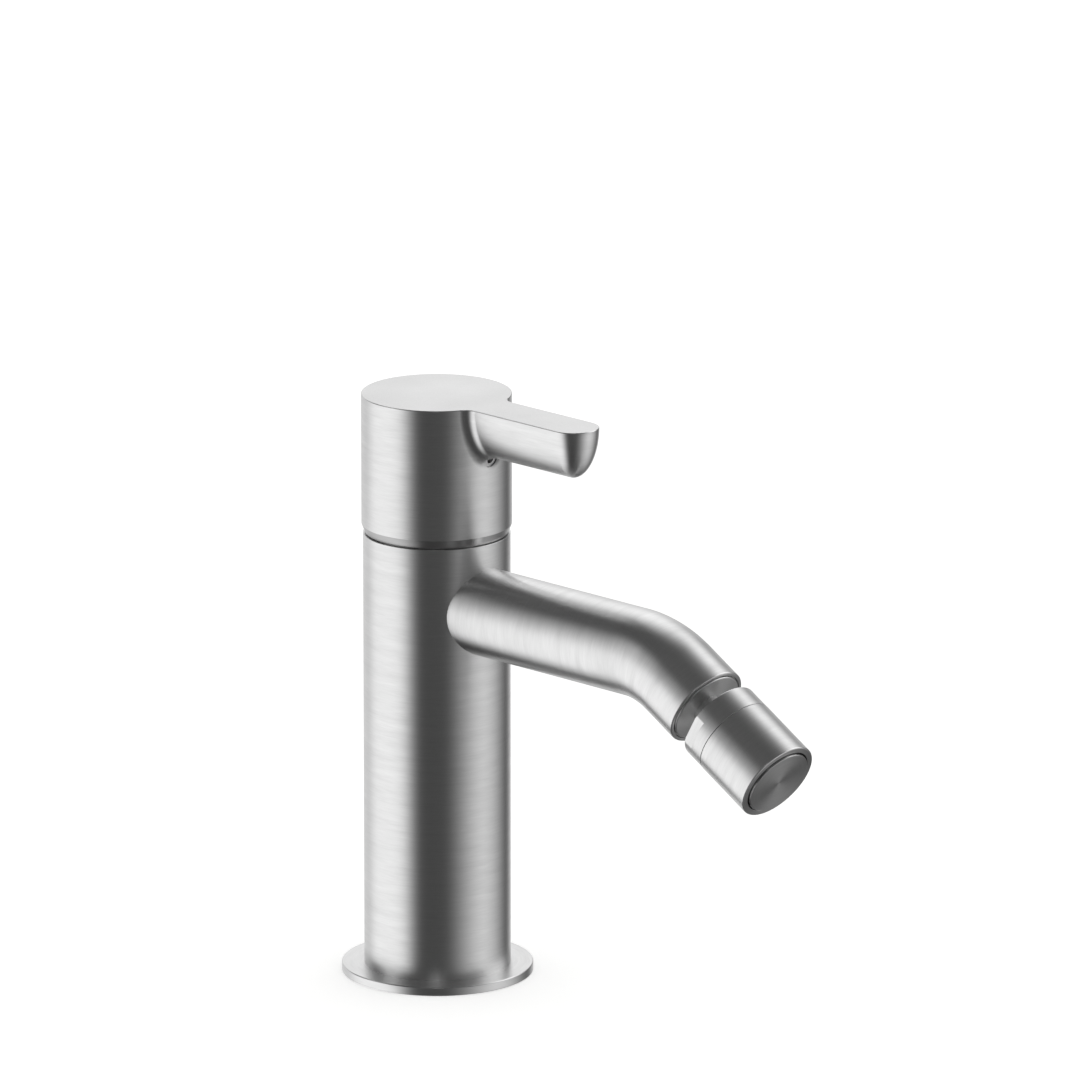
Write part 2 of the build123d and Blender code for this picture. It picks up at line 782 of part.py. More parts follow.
# End plate in the spout's mouth, threaded for the swivel stem. Its front stands clear of the
# tube, so that a narrow groove runs round it.
with BuildPart() as end_plate:
    groove_rear = plate_rear + end_plate_groove_height
    groove_front = groove_rear + end_plate_groove_width
    plate_groove_floor = plate_radius - end_plate_groove_depth
    turn(
        [
            (stem_thread_radius + running_clearance, plate_rear),
            (plate_radius, plate_rear),
            (plate_radius, groove_rear),
            (plate_groove_floor, groove_rear),
            (plate_groove_floor, groove_front),
            (plate_radius, groove_front),
            (plate_radius, plate_front - end_plate_rim_depth),
            (plate_rim_radius, plate_front - end_plate_rim_depth),
            (plate_rim_radius, plate_front - end_plate_chamfer),
            (plate_rim_radius - end_plate_chamfer, plate_front),
            (stem_thread_radius + running_clearance, plate_front),
        ],
        frame=nozzle,
    )
keep(end_plate, "end_plate")

with BuildPart() as end_plate_seal:
    plate_seal_section = end_plate_groove_depth / 2
    o_ring(
        plate_radius - plate_seal_section,
        plate_seal_section,
        groove_rear + end_plate_groove_width / 2,
        frame=nozzle,
    )
keep(end_plate_seal, "end_plate_seal")

with BuildPart() as swivel_stem:
    ball(ball_radius, nozzle, ball_centre)
    bar(stem_neck_radius, plate_front, ball_centre, frame=nozzle)
    bar(stem_thread_radius, plate_front - stem_thread_length, plate_front, frame=nozzle)
    bar(
        stem_bore_radius,
        plate_front - stem_thread_length,
        ball_centre + ball_radius,
        frame=nozzle,
        mode=Mode.SUBTRACT,
    )
keep(swivel_stem, "swivel_stem")

# Rear seat: a zone of a hollow ball, free to slide on the ball and in the collar's socket.
with BuildPart() as rear_ball_seat:
    ball(rear_seat_radius, nozzle, ball_centre)
    ball(seat_bore_radius, nozzle, ball_centre, mode=Mode.SUBTRACT)
    seat_zone = nozzle.offset(ball_centre)
    bar(
        rear_seat_radius + overrun,
        -rear_seat_back,
        -rear_seat_front,
        frame=seat_zone,
        mode=Mode.INTERSECT,
    )
keep(rear_ball_seat, "rear_ball_seat")

with BuildPart() as front_ball_seat:
    ring(rear_seat_radius, front_seat_bore_radius, front_seat_back, front_seat_front, frame=seat_zone)
    ball(seat_bore_radius, nozzle, ball_centre, mode=Mode.SUBTRACT)
keep(front_ball_seat, "front_ball_seat")

with BuildPart() as seat_seal:
    ring(rear_seat_radius, stem_neck_radius, seat_seal_rear, shoulder_rear, frame=nozzle)
keep(seat_seal, "seat_seal")

# Collar: a spherical socket behind, a thread for the sleeve in front, two spanner flats.
with BuildPart() as nozzle_collar:
    bar(collar_radius, collar_rear, collar_front, frame=nozzle)
    collar_axis = Axis(nozzle.origin, nozzle.z_dir)
    chamfer(nozzle_collar.edges().group_by(collar_axis)[0], collar_edge_break)
    flat_offset = (spanner_size + collar_radius) / 2
    with BuildSketch(nozzle.offset(collar_rear)):
        with Locations((-flat_offset, 0), (flat_offset, 0)):
            Rectangle(collar_radius, collar_diameter)
    extrude(amount=spanner_flat_length, mode=Mode.SUBTRACT)
    ball(socket_radius, nozzle, ball_centre, mode=Mode.SUBTRACT)
    bar(
        sleeve_thread_radius + running_clearance,
        ball_centre,
        collar_front,
        frame=nozzle,
        mode=Mode.SUBTRACT,
    )
keep(nozzle_collar, "nozzle_collar")

with BuildPart() as nozzle_sleeve:
    turn(
        [
            (sleeve_bore_radius, ball_centre),
            (sleeve_thread_radius, ball_centre),
            (sleeve_thread_radius, collar_front),
            (sleeve_radius, collar_front),
            (sleeve_radius, sleeve_front - sleeve_edge_break),
            (sleeve_radius - sleeve_edge_break, sleeve_front),
            (mouth_radius, sleeve_front),
            (mouth_radius, mouth_depth_start),
            (insert_bore_radius, mouth_depth_start),
            (insert_bore_radius, shoulder_front),
            (sleeve_shoulder_radius, shoulder_front),
            (sleeve_shoulder_radius, shoulder_rear),
            (sleeve_bore_radius, shoulder_rear),
        ],
        frame=nozzle,
    )
keep(nozzle_sleeve, "nozzle_sleeve")

insert_radius_in_sleeve = insert_bore_radius - running_clearance
with BuildPart() as insert_seal:
    ring(
        insert_radius_in_sleeve,
        insert_radius_in_sleeve - insert_seal_width,
        shoulder_front,
        insert_rear,
        frame=nozzle,
    )
keep(insert_seal, "insert_seal")

# Flow insert: a holed plate with a recess for the screen and a post for the face disc.
with BuildPart() as flow_insert:
    bar(insert_radius_in_sleeve, insert_rear, insert_front, frame=nozzle)
    bar(flow_post_radius, insert_front, disc_rear, frame=nozzle)
    bar(
        screen_radius + running_clearance,
        insert_rear,
        insert_rear + screen_thickness,
        frame=nozzle,
        mode=Mode.SUBTRACT,
    )
    with BuildSketch(nozzle.offset(insert_rear)):
        with PolarLocations(flow_hole_circle_radius, flow_holes):
            Circle(flow_hole_radius)
    extrude(amount=flow_insert_thickness, mode=Mode.SUBTRACT)
    bar(
        face_stud_radius + running_clearance,
        disc_rear - face_stud_length - open_clearance,
        disc_rear,
        frame=nozzle,
        mode=Mode.SUBTRACT,
    )
keep(flow_insert, "flow_insert")

with BuildPart() as inlet_screen:
    bar(screen_radius, insert_rear, insert_rear + screen_thickness, frame=nozzle)
    screen_half = (screen_radius - screen_hole_pitch) / math.sqrt(2)
    screen_holes = 2 * math.floor(screen_half / screen_hole_pitch) + 1
    with BuildSketch(nozzle.offset(insert_rear)):
        with GridLocations(screen_hole_pitch, screen_hole_pitch, screen_holes, screen_holes):
            Circle(screen_hole_radius)
    extrude(amount=screen_thickness, mode=Mode.SUBTRACT)
keep(inlet_screen, "inlet_screen")

# Face disc: the water leaves through the narrow ring between it and the sleeve's rim.
with BuildPart() as face_disc:
    turn(
        [
            (0, disc_rear - face_stud_length),
            (face_stud_radius, disc_rear - face_stud_length),
            (face_stud_radius, disc_rear),
            (face_disc_radius, disc_rear),
            (face_disc_radius, disc_front - face_disc_edge_break),
            (face_disc_radius - face_disc_edge_break, disc_front),
            (0, disc_front),
        ],
        frame=nozzle,
    )
keep(face_disc, "face_disc")
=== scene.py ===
"""Bidet mixer: the finished look of an upright single-lever mixer in brushed stainless steel.

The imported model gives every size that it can. This script puts fine surfaces with true normals
over its visible metal pieces, dresses all pieces, and sets up a studio and the camera.
Lengths named _mm are millimetres. Every other length is in metres.
"""

from __future__ import annotations

import json
import logging
import math
from dataclasses import dataclass
from enum import Enum

import bpy
import numpy as np
from mathutils import Matrix, Vector

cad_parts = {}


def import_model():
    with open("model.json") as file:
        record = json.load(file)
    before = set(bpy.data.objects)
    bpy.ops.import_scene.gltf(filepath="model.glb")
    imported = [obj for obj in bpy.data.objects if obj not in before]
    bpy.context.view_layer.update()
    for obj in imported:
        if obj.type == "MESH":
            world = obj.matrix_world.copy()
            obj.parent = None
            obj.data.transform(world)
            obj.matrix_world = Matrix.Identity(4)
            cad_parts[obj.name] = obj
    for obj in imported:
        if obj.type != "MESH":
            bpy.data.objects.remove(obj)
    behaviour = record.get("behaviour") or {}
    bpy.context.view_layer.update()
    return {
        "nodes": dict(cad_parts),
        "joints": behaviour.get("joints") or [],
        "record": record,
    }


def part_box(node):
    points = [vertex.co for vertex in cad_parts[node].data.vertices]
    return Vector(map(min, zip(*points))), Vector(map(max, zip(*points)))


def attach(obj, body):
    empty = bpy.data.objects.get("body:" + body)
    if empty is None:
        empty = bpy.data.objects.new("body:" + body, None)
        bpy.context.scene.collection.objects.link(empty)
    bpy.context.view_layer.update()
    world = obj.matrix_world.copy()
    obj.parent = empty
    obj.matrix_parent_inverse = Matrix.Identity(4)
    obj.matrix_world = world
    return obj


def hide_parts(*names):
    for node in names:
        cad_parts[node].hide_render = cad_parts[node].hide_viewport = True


LOG = logging.getLogger("bidet_mixer")
MM = 0.001
UV_NAME = "brush"
GRAIN_NAME = "grain"
WELD_DIGITS = 8
ROUND_STEP_MM = 0.55  # between points along a circle, so that no corner shows on an outline
LEAST_ROUND_STEPS = 48
ARC_STEPS = 6  # in each rounded corner of a turned outline
TINY = 1e-9  # keeps a division off zero
UP = np.array([0.0, 0.0, 1.0])
MIRROR = np.array([-1.0, 1.0, 1.0])

Outline = list[tuple[float, float, float]]  # radius from the axis, height and corner radius


def linear_colour(hex_code: str) -> tuple[float, float, float, float]:
    """Turn an sRGB hex colour into linear RGBA.

    Args:
        hex_code: a colour such as "#C8C8C6".

    Returns:
        The linear red, green and blue, and an alpha of 1.
    """
    srgb = np.array([int(hex_code[i : i + 2], 16) for i in (1, 3, 5)]) / 255
    linear = np.where(srgb <= 0.04045, srgb / 12.92, ((srgb + 0.055) / 1.055) ** 2.4)
    return (*map(float, linear), 1.0)


def add_node(tree: bpy.types.NodeTree, kind: str, inputs: dict | None = None, **settings) -> bpy.types.Node:
    """Add a shader node.

    Args:
        tree: the node tree that gets it.
        kind: the node's type, such as "ShaderNodeBump".
        inputs: for each input, by name or number, a value, or another node's output to link.
        settings: the node's own properties.

    Returns:
        The new node.
    """
    node = tree.nodes.new(kind)
    for name, value in settings.items():
        setattr(node, name, value)
    for key, value in (inputs or {}).items():
        if isinstance(value, bpy.types.NodeSocket):
            tree.links.new(value, node.inputs[key])
        else:
            node.inputs[key].default_value = value
    return node


def blank_material(name: str) -> tuple[bpy.types.Material, bpy.types.NodeTree]:
    """Make a material with an empty node tree.

    Args:
        name: the material's name.

    Returns:
        The material and its node tree.
    """
    material = bpy.data.materials.new(name)
    material.use_nodes = True
    material.node_tree.nodes.clear()
    return material, material.node_tree


def grid(*coordinates: np.ndarray | float) -> np.ndarray:
    """Return coordinates, each spread to the shape that they share, as points on a last axis."""
    return np.stack(np.broadcast_arrays(*coordinates), axis=-1)


def unit_circle(angles: np.ndarray) -> np.ndarray:
    """Return the level unit vectors (cos a, sin a, 0) at the angles a."""
    return grid(np.cos(angles), np.sin(angles), 0.0)


@dataclass(frozen=True)
class Axes:
    """A right-handed set of axes that a turned piece is made on."""

    origin: np.ndarray
    x: np.ndarray
    y: np.ndarray
    z: np.ndarray

    def place(self, local: np.ndarray) -> np.ndarray:
        """Return local points in the model's axes."""
        return self.origin + self.turn(local)

    def turn(self, local: np.ndarray) -> np.ndarray:
        """Return local directions in the model's axes."""
        return local @ np.stack([self.x, self.y, self.z])


UPRIGHT = Axes(np.zeros(3), *np.eye(3))


@dataclass
class Patch:
    """A grid of points with normals, brush coordinates and grain coordinates."""

    points: np.ndarray
    normals: np.ndarray
    uv: np.ndarray
    grain: np.ndarray

    def corners(self) -> tuple[np.ndarray, ...]:
        """Work out what each cell of the grid has at its four corners.

        Returns:
            Points, normals, uv and grain, each (cells, 4, 2 or 3).
        """
        cells = []
        for array in vars(self).values():
            quad = np.stack([array[:-1, :-1], array[1:, :-1], array[1:, 1:], array[:-1, 1:]], axis=2)
            cells.append(quad.reshape(-1, 4, array.shape[-1]))
        return tuple(cells)

    def flipped(self) -> Patch:
        """Return the same patch with its rows in reverse, so that its faces turn round."""
        return Patch(*(array[::-1] for array in vars(self).values()))

    def mirrored(self) -> Patch:
        """Return the patch mirrored across the plane x = 0, with its faces pointing outwards."""
        other = Patch(self.points * MIRROR, self.normals * MIRROR, self.uv, self.grain * MIRROR)
        return other.flipped()


def facing(patch: Patch) -> Patch:
    """Turn a patch's faces to the side that its normals point to.

    Args:
        patch: any patch.

    Returns:
        The patch itself, or the patch with its rows in reverse.
    """
    corners, normals, _, _ = patch.corners()
    area = np.cross(corners[:, 2] - corners[:, 0], corners[:, 3] - corners[:, 1])
    return patch if float(np.einsum("ij,ij->", area, normals[:, 0])) > 0 else patch.flipped()


def skin(
    name: str, patches: list[Patch], body: str, replaced: str, material: bpy.types.Material
) -> bpy.types.Object:
    """Weld patches into one dressed mesh object that rides on a body in place of a node.

    Corners whose places are equal become one vertex, and cells that close to a point become
    triangles, so seams and poles are closed. Each corner keeps the true normal of its surface.

    Args:
        name: the piece's name.
        patches: the patches, which share their border points.
        body: the body that the piece moves with.
        replaced: the node that the piece stands for.
        material: the piece's finish.

    Returns:
        The new object.
    """
    columns = zip(*(facing(patch).corners() for patch in patches))
    points, normals, uv, grain = (np.concatenate(column) for column in columns)
    keys, index = np.unique(np.round(points.reshape(-1, 3), WELD_DIGITS), axis=0, return_inverse=True)
    index = index.reshape(-1, 4)
    kept = index != np.roll(index, -1, axis=1)
    whole = kept.sum(axis=1) > 2
    kept, index = kept[whole], index[whole]
    mesh = bpy.data.meshes.new(name)
    mesh.vertices.add(len(keys))
    mesh.vertices.foreach_set("co", keys.astype(np.float32).ravel())
    mesh.loops.add(int(kept.sum()))
    mesh.loops.foreach_set("vertex_index", index[kept].astype(np.int32))
    starts = np.concatenate([[0], np.cumsum(kept.sum(axis=1))[:-1]])
    mesh.polygons.add(len(starts))
    mesh.polygons.foreach_set("loop_start", starts.astype(np.int32))
    mesh.polygons.foreach_set("use_smooth", np.ones(len(starts), bool))
    mesh.update(calc_edges=True)
    layer = mesh.uv_layers.new(name=UV_NAME)
    layer.uv.foreach_set("vector", uv[whole][kept].astype(np.float32).ravel())
    attribute = mesh.attributes.new(GRAIN_NAME, "FLOAT_VECTOR", "CORNER")
    attribute.data.foreach_set("vector", grain[whole][kept].astype(np.float32).ravel())
    mesh.normals_split_custom_set(normals[whole][kept].tolist())
    mesh.materials.append(material)
    piece = bpy.data.objects.new(name, mesh)
    bpy.context.scene.collection.objects.link(piece)
    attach(piece, body)
    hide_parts(replaced)
    return piece


def rounded_profile(corners: Outline) -> tuple[np.ndarray, np.ndarray]:
    """Work out an outline with rounded corners, as points and the normals on both sides of each.

    At a corner with a radius r, an arc touches both of its edges at r / tan(half the angle
    between them) from the corner. A corner whose radius is zero keeps two normals.

    Args:
        corners: the outline's corners, listed so that the outside lies to the right of the
            way along them.

    Returns:
        The points (n, 2), and the normals (n, 2, 2) before and after each point.
    """
    places = np.array([corner[:2] for corner in corners], float)
    ways = np.diff(places, axis=0)
    ways /= np.linalg.norm(ways, axis=1, keepdims=True)
    outwards = np.stack([ways[:, 1], -ways[:, 0]], axis=1)
    points, normals = [places[0]], [(outwards[0], outwards[0])]
    for i in range(1, len(places) - 1):
        radius = corners[i][2]
        before, after = ways[i - 1], ways[i]
        if radius <= 0:
            points.append(places[i])
            normals.append((outwards[i - 1], outwards[i]))
            continue
        bend = math.acos(float(np.clip(before @ after, -1, 1)))
        reach = radius * math.tan(bend / 2)
        side = math.copysign(1.0, before[0] * after[1] - before[1] * after[0])
        centre = places[i] - before * reach - side * radius * outwards[i - 1]
        for share in np.linspace(0, 1, ARC_STEPS + 1):
            angle = side * share * bend
            turn = np.array([[math.cos(angle), -math.sin(angle)], [math.sin(angle), math.cos(angle)]])
            outward = turn @ outwards[i - 1]
            points.append(centre + side * radius * outward)
            normals.append((outward, outward))
    points.append(places[-1])
    normals.append((outwards[-1], outwards[-1]))
    return np.array(points), np.array(normals)


def even_angles(radius: float) -> np.ndarray:
    """Return even angles once round a circle of a radius, from 0 to a full turn, both included."""
    steps = int(2 * math.pi * radius / (ROUND_STEP_MM * MM))
    return np.linspace(0, 2 * math.pi, max(LEAST_ROUND_STEPS, steps) + 1)


def turned(corners: Outline, axes: Axes = UPRIGHT, angles: np.ndarray | None = None) -> list[Patch]:
    """Carry a rounded outline round an axis: point = (r cos a, r sin a, h).

    The first brush coordinate is the angle as an arc on the widest radius, the second is the
    length along the outline. The grain coordinates are a circle in two axes, which closes
    without a seam, and the length along the outline.

    Args:
        corners: the outline, as rounded_profile takes it.
        axes: the axes whose z the outline is turned about.
        angles: the angles round the axis, or None for even steps.

    Returns:
        One patch for each stretch of the outline.
    """
    points, normals = rounded_profile(corners)
    widest = points[:, 0].max()
    if angles is None:
        angles = even_angles(widest)
    lengths = np.concatenate([[0], np.cumsum(np.linalg.norm(np.diff(points, axis=0), axis=1))])
    circle = unit_circle(angles)
    if math.isclose(angles[-1] - angles[0], 2 * math.pi):
        circle[-1] = circle[0]
    patches = []
    for i in range(len(points) - 1):
        ends = points[i : i + 2, :, None, None]
        outward = np.stack([normals[i, 1], normals[i + 1, 0]])[..., None, None]
        length = lengths[i : i + 2, None]
        patches.append(
            Patch(
                axes.place(circle * ends[:, 0] + UP * ends[:, 1]),
                axes.turn(circle * outward[:, 0] + UP * outward[:, 1]),
                grid(angles * widest, length),
                circle * widest + UP * length[..., None],
            )
        )
    return patches


def add_surface(
    tree: bpy.types.NodeTree,
    pattern: bpy.types.NodeSocket,
    colours: tuple[str, str],
    roughness: tuple[float, float],
    inputs: dict,
) -> None:
    """Add the shader and the output, with a colour and a roughness that follow one pattern.

    Args:
        tree: the material's node tree.
        pattern: the pattern, from 0 to 1.
        colours: the hex colours where the pattern is 0 and where it is 1.
        roughness: the roughness where the pattern is 0 and where it is 1.
        inputs: the shader's other inputs.
    """
    first, last = (linear_colour(colour) for colour in colours)
    # A Mix node's inputs 6 and 7 are its two colours.
    colour = add_node(tree, "ShaderNodeMix", {0: pattern, 6: first, 7: last}, data_type="RGBA")
    ends = {"Value": pattern, "To Min": roughness[0], "To Max": roughness[1]}
    gloss = add_node(tree, "ShaderNodeMapRange", ends)
    both = {"Base Color": colour.outputs[2], "Roughness": gloss.outputs[0]}
    shader = add_node(tree, "ShaderNodeBsdfPrincipled", both | inputs)
    add_node(tree, "ShaderNodeOutputMaterial", {"Surface": shader.outputs[0]})


class Grain(Enum):
    """How the surface of the steel was worked."""

    BRUSHED = "brushed round the axis"
    TURNED = "turned on a lathe"
    SATIN = "blasted or rubbed to an even satin"


@dataclass(frozen=True)
class StainlessSteel:
    """Austenitic stainless steel with a fine worked surface.

    The worked surface spreads reflections across the grooves, which gives long soft bands of
    light and dark along a tube, and faint broken streaks round it.
    """

    name: str
    grain: Grain
    bright: str = "#D9D9D9"
    dull: str = "#CBCBCB"
    roughness_low: float = 0.30
    roughness_high: float = 0.35
    anisotropy: float = 0.6
    spread_turn: float = 0.25  # of a full turn: the spread runs across the brushing
    streak_pitch_mm: float = 0.32  # real grit lines are 0.05 mm apart: drawn coarser so that they show
    streak_length_mm: float = 5.0
    streak_detail: float = 3.0
    streak_gain: float = 0.6  # of each finer layer of the noise
    cloud_height_mm: float = 2.2
    cloud_length_mm: float = 18.0
    cloud_detail: float = 2.0
    cloud_gain: float = 0.5
    pattern_low: float = 0.6  # of streaks and clouds together, where the steel is dullest
    pattern_high: float = 1.4  # and where it is brightest
    groove_depth_mm: float = 0.0016

    def build(self) -> bpy.types.Material:
        """Make the material from fine streaks and wide clouds, which are stretched noise.

        Returns:
            The material.
        """
        material, tree = blank_material(self.name)
        grain = add_node(tree, "ShaderNodeAttribute", attribute_name=GRAIN_NAME).outputs["Vector"]
        streak_mm = (self.streak_length_mm, self.streak_length_mm, self.streak_pitch_mm)
        cloud_mm = (self.cloud_length_mm, self.cloud_length_mm, self.cloud_height_mm)
        if self.grain is Grain.SATIN:
            streak_mm = (self.streak_pitch_mm,) * 3
            cloud_mm = (self.cloud_length_mm,) * 3
        patterns = []
        for size_mm, detail, gain in (
            (streak_mm, self.streak_detail, self.streak_gain),
            (cloud_mm, self.cloud_detail, self.cloud_gain),
        ):
            scale = tuple(1 / (side * MM) for side in size_mm)
            place = add_node(tree, "ShaderNodeMapping", {"Vector": grain, "Scale": scale})
            noise = {"Vector": place.outputs[0], "Scale": 1.0, "Detail": detail, "Roughness": gain}
            patterns.append(add_node(tree, "ShaderNodeTexNoise", noise).outputs["Fac"])
        streaks, clouds = patterns
        both = add_node(tree, "ShaderNodeMath", {0: streaks, 1: clouds}, operation="ADD").outputs[0]
        ends = {"Value": both, "From Min": self.pattern_low, "From Max": self.pattern_high}
        share = add_node(tree, "ShaderNodeMapRange", ends).outputs[0]
        grooves = {"Height": streaks, "Distance": self.groove_depth_mm * MM, "Strength": 1.0}
        bump = add_node(tree, "ShaderNodeBump", grooves)
        tangent = add_node(tree, "ShaderNodeTangent", direction_type="UV_MAP", uv_map=UV_NAME)
        inputs = {
            "Metallic": 1.0,
            "Normal": bump.outputs[0],
            "Tangent": tangent.outputs[0],
            "Anisotropic": self.anisotropy,
            "Anisotropic Rotation": self.spread_turn,
        }
        gloss = (self.roughness_high, self.roughness_low)
        add_surface(tree, share, (self.dull, self.bright), gloss, inputs)
        return material


@dataclass(frozen=True)
class PlainFinish:
    """A moulded, machined or lapped surface of one colour with fine mottling in its gloss."""

    name: str
    light: str
    dark: str
    metallic: float
    roughness: float
    mottle_mm: float
    mottle_detail: float = 4.0
    gloss_spread: float = 0.15

    def build(self) -> bpy.types.Material:
        """Make the material from noise of the mottling's size.

        Returns:
            The material.
        """
        material, tree = blank_material(self.name)
        place = add_node(tree, "ShaderNodeTexCoord").outputs["Object"]
        noise = {"Vector": place, "Scale": 1 / (self.mottle_mm * MM), "Detail": self.mottle_detail}
        mottle = add_node(tree, "ShaderNodeTexNoise", noise).outputs["Fac"]
        least = self.roughness * (1 - self.gloss_spread)
        most = min(1.0, self.roughness * (1 + self.gloss_spread))
        inputs = {"Metallic": self.metallic}
        add_surface(tree, mottle, (self.dark, self.light), (least, most), inputs)
        return material


# Brushed by a belt that runs round the piece: soft bands along it and fine broken lines round it.
BRUSHED = StainlessSteel("brushed_stainless_steel", Grain.BRUSHED)
# Faced and bevelled on a lathe, with a stronger spread that draws fans of light on a disc; its darker
# colours are painted shade on the downward faces of the skirt, the sleeve's mouth and the disc.
TURNED = StainlessSteel(
    "turned_stainless_steel",
    Grain.TURNED,
    # darker than the brushed steel: painted shade
    bright="#BEBEBE",
    dull="#AEAEAE",
    anisotropy=0.8,
    streak_pitch_mm=0.25,
)
# Blasted with fine beads: an even, nearly matt grey without any direction.
BLASTED = StainlessSteel(
    "blasted_stainless_steel",
    Grain.SATIN,
    bright="#C8C8C8",
    dull="#BCBCBC",
    roughness_low=0.5,
    roughness_high=0.58,
    anisotropy=0.0,
    streak_pitch_mm=0.2,
)
# Rubbed to an even satin: the same pale steel as the brushed one, with a soft sheen all over.
SATIN = StainlessSteel(
    "satin_stainless_steel", Grain.SATIN, anisotropy=0.0, roughness_low=0.33, roughness_high=0.36
)
HIDDEN_FINISHES = {
    # Turned and milled brass: a yellow metal whose tool marks soften its shine.
    "machined_brass": PlainFinish("machined_brass", "#C9A661", "#B08A45", 1.0, 0.32, 0.6),
    # Moulded rubber: nearly black and dull.
    "black_rubber": PlainFinish("nitrile_rubber", "#1F1F1F", "#161616", 0.0, 0.7, 0.4),
    # Moulded acetal: milky white with a waxy gloss.
    "white_plastic": PlainFinish("moulded_acetal", "#E9E8E3", "#DEDDD7", 0.0, 0.42, 0.8),
    # Moulded glass-filled polyamide: grey and half dull, faintly cloudy from its fibres.
    "grey_plastic": PlainFinish("moulded_polyamide", "#66696D", "#55585C", 0.0, 0.5, 0.8),
    # Lapped alumina: white and so smooth that it nearly mirrors.
    "white_ceramic": PlainFinish("lapped_alumina", "#F0EFEA", "#E4E3DD", 0.0, 0.15, 0.3),
    # Bright drawn steel: pale grey with a quiet shine.
    "screw_steel": PlainFinish("bright_screw_steel", "#CDCDCD", "#B4B4B4", 1.0, 0.42, 0.3),
    # Drawn and turned stainless steel inside: grey, smooth and unbrushed.
    "brushed_stainless": PlainFinish("stainless_inner_faces", "#C8C8C7", "#B5B5B4", 1.0, 0.35, 0.4),
    "turned_stainless": PlainFinish("stainless_turned_inner", "#B9B9B8", "#A5A5A4", 1.0, 0.35, 0.4),
}


@dataclass
class BaseFlange:
    """The thin round flange that the column stands on."""

    outer: float
    inner: float
    thickness: float
    edge_mm: float = 0.3

    @classmethod
    def from_frame(cls) -> BaseFlange:
        """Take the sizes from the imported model.

        Returns:
            The flange.
        """
        _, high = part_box("base_flange")
        _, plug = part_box("base_plug")
        return cls(outer=high.x, inner=plug.x, thickness=high.z)

    def build(self, steel: bpy.types.Material) -> bpy.types.Object:
        """Make the flange and dress it.

        Args:
            steel: its finish.

        Returns:
            The piece.
        """
        edge = self.edge_mm * MM
        outline = [
            (self.inner, 0.0, 0.0),
            (self.outer, 0.0, edge / 2),
            (self.outer, self.thickness, edge),
            (self.inner, self.thickness, 0.0),
            (self.inner, 0.0, 0.0),
        ]
        return skin("base_flange_skin", turned(outline), "fixed", "base_flange", steel)


@dataclass
class Column:
    """The upright tube between the flange and the head."""

    radius: float
    bottom: float
    top: float
    wall_mm: float = 2.0
    edge_mm: float = 0.1

    @classmethod
    def from_frame(cls) -> Column:
        """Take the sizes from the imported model."""
        low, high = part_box("body_tube")
        return cls(high.x, low.z, high.z)

    def build(self, steel: bpy.types.Material) -> bpy.types.Object:
        """Make the tube and dress it.

        Args:
            steel: its finish.

        Returns:
            The piece.
        """
        bore = self.radius - self.wall_mm * MM
        outline = [
            (bore, self.bottom, 0.0),
            (self.radius, self.bottom, 0.0),
            (self.radius, self.top, self.edge_mm * MM),
            (bore, self.top, 0.0),
            (bore, self.bottom, 0.0),
        ]
        return skin("column_tube", turned(outline), "fixed", "body_tube", steel)


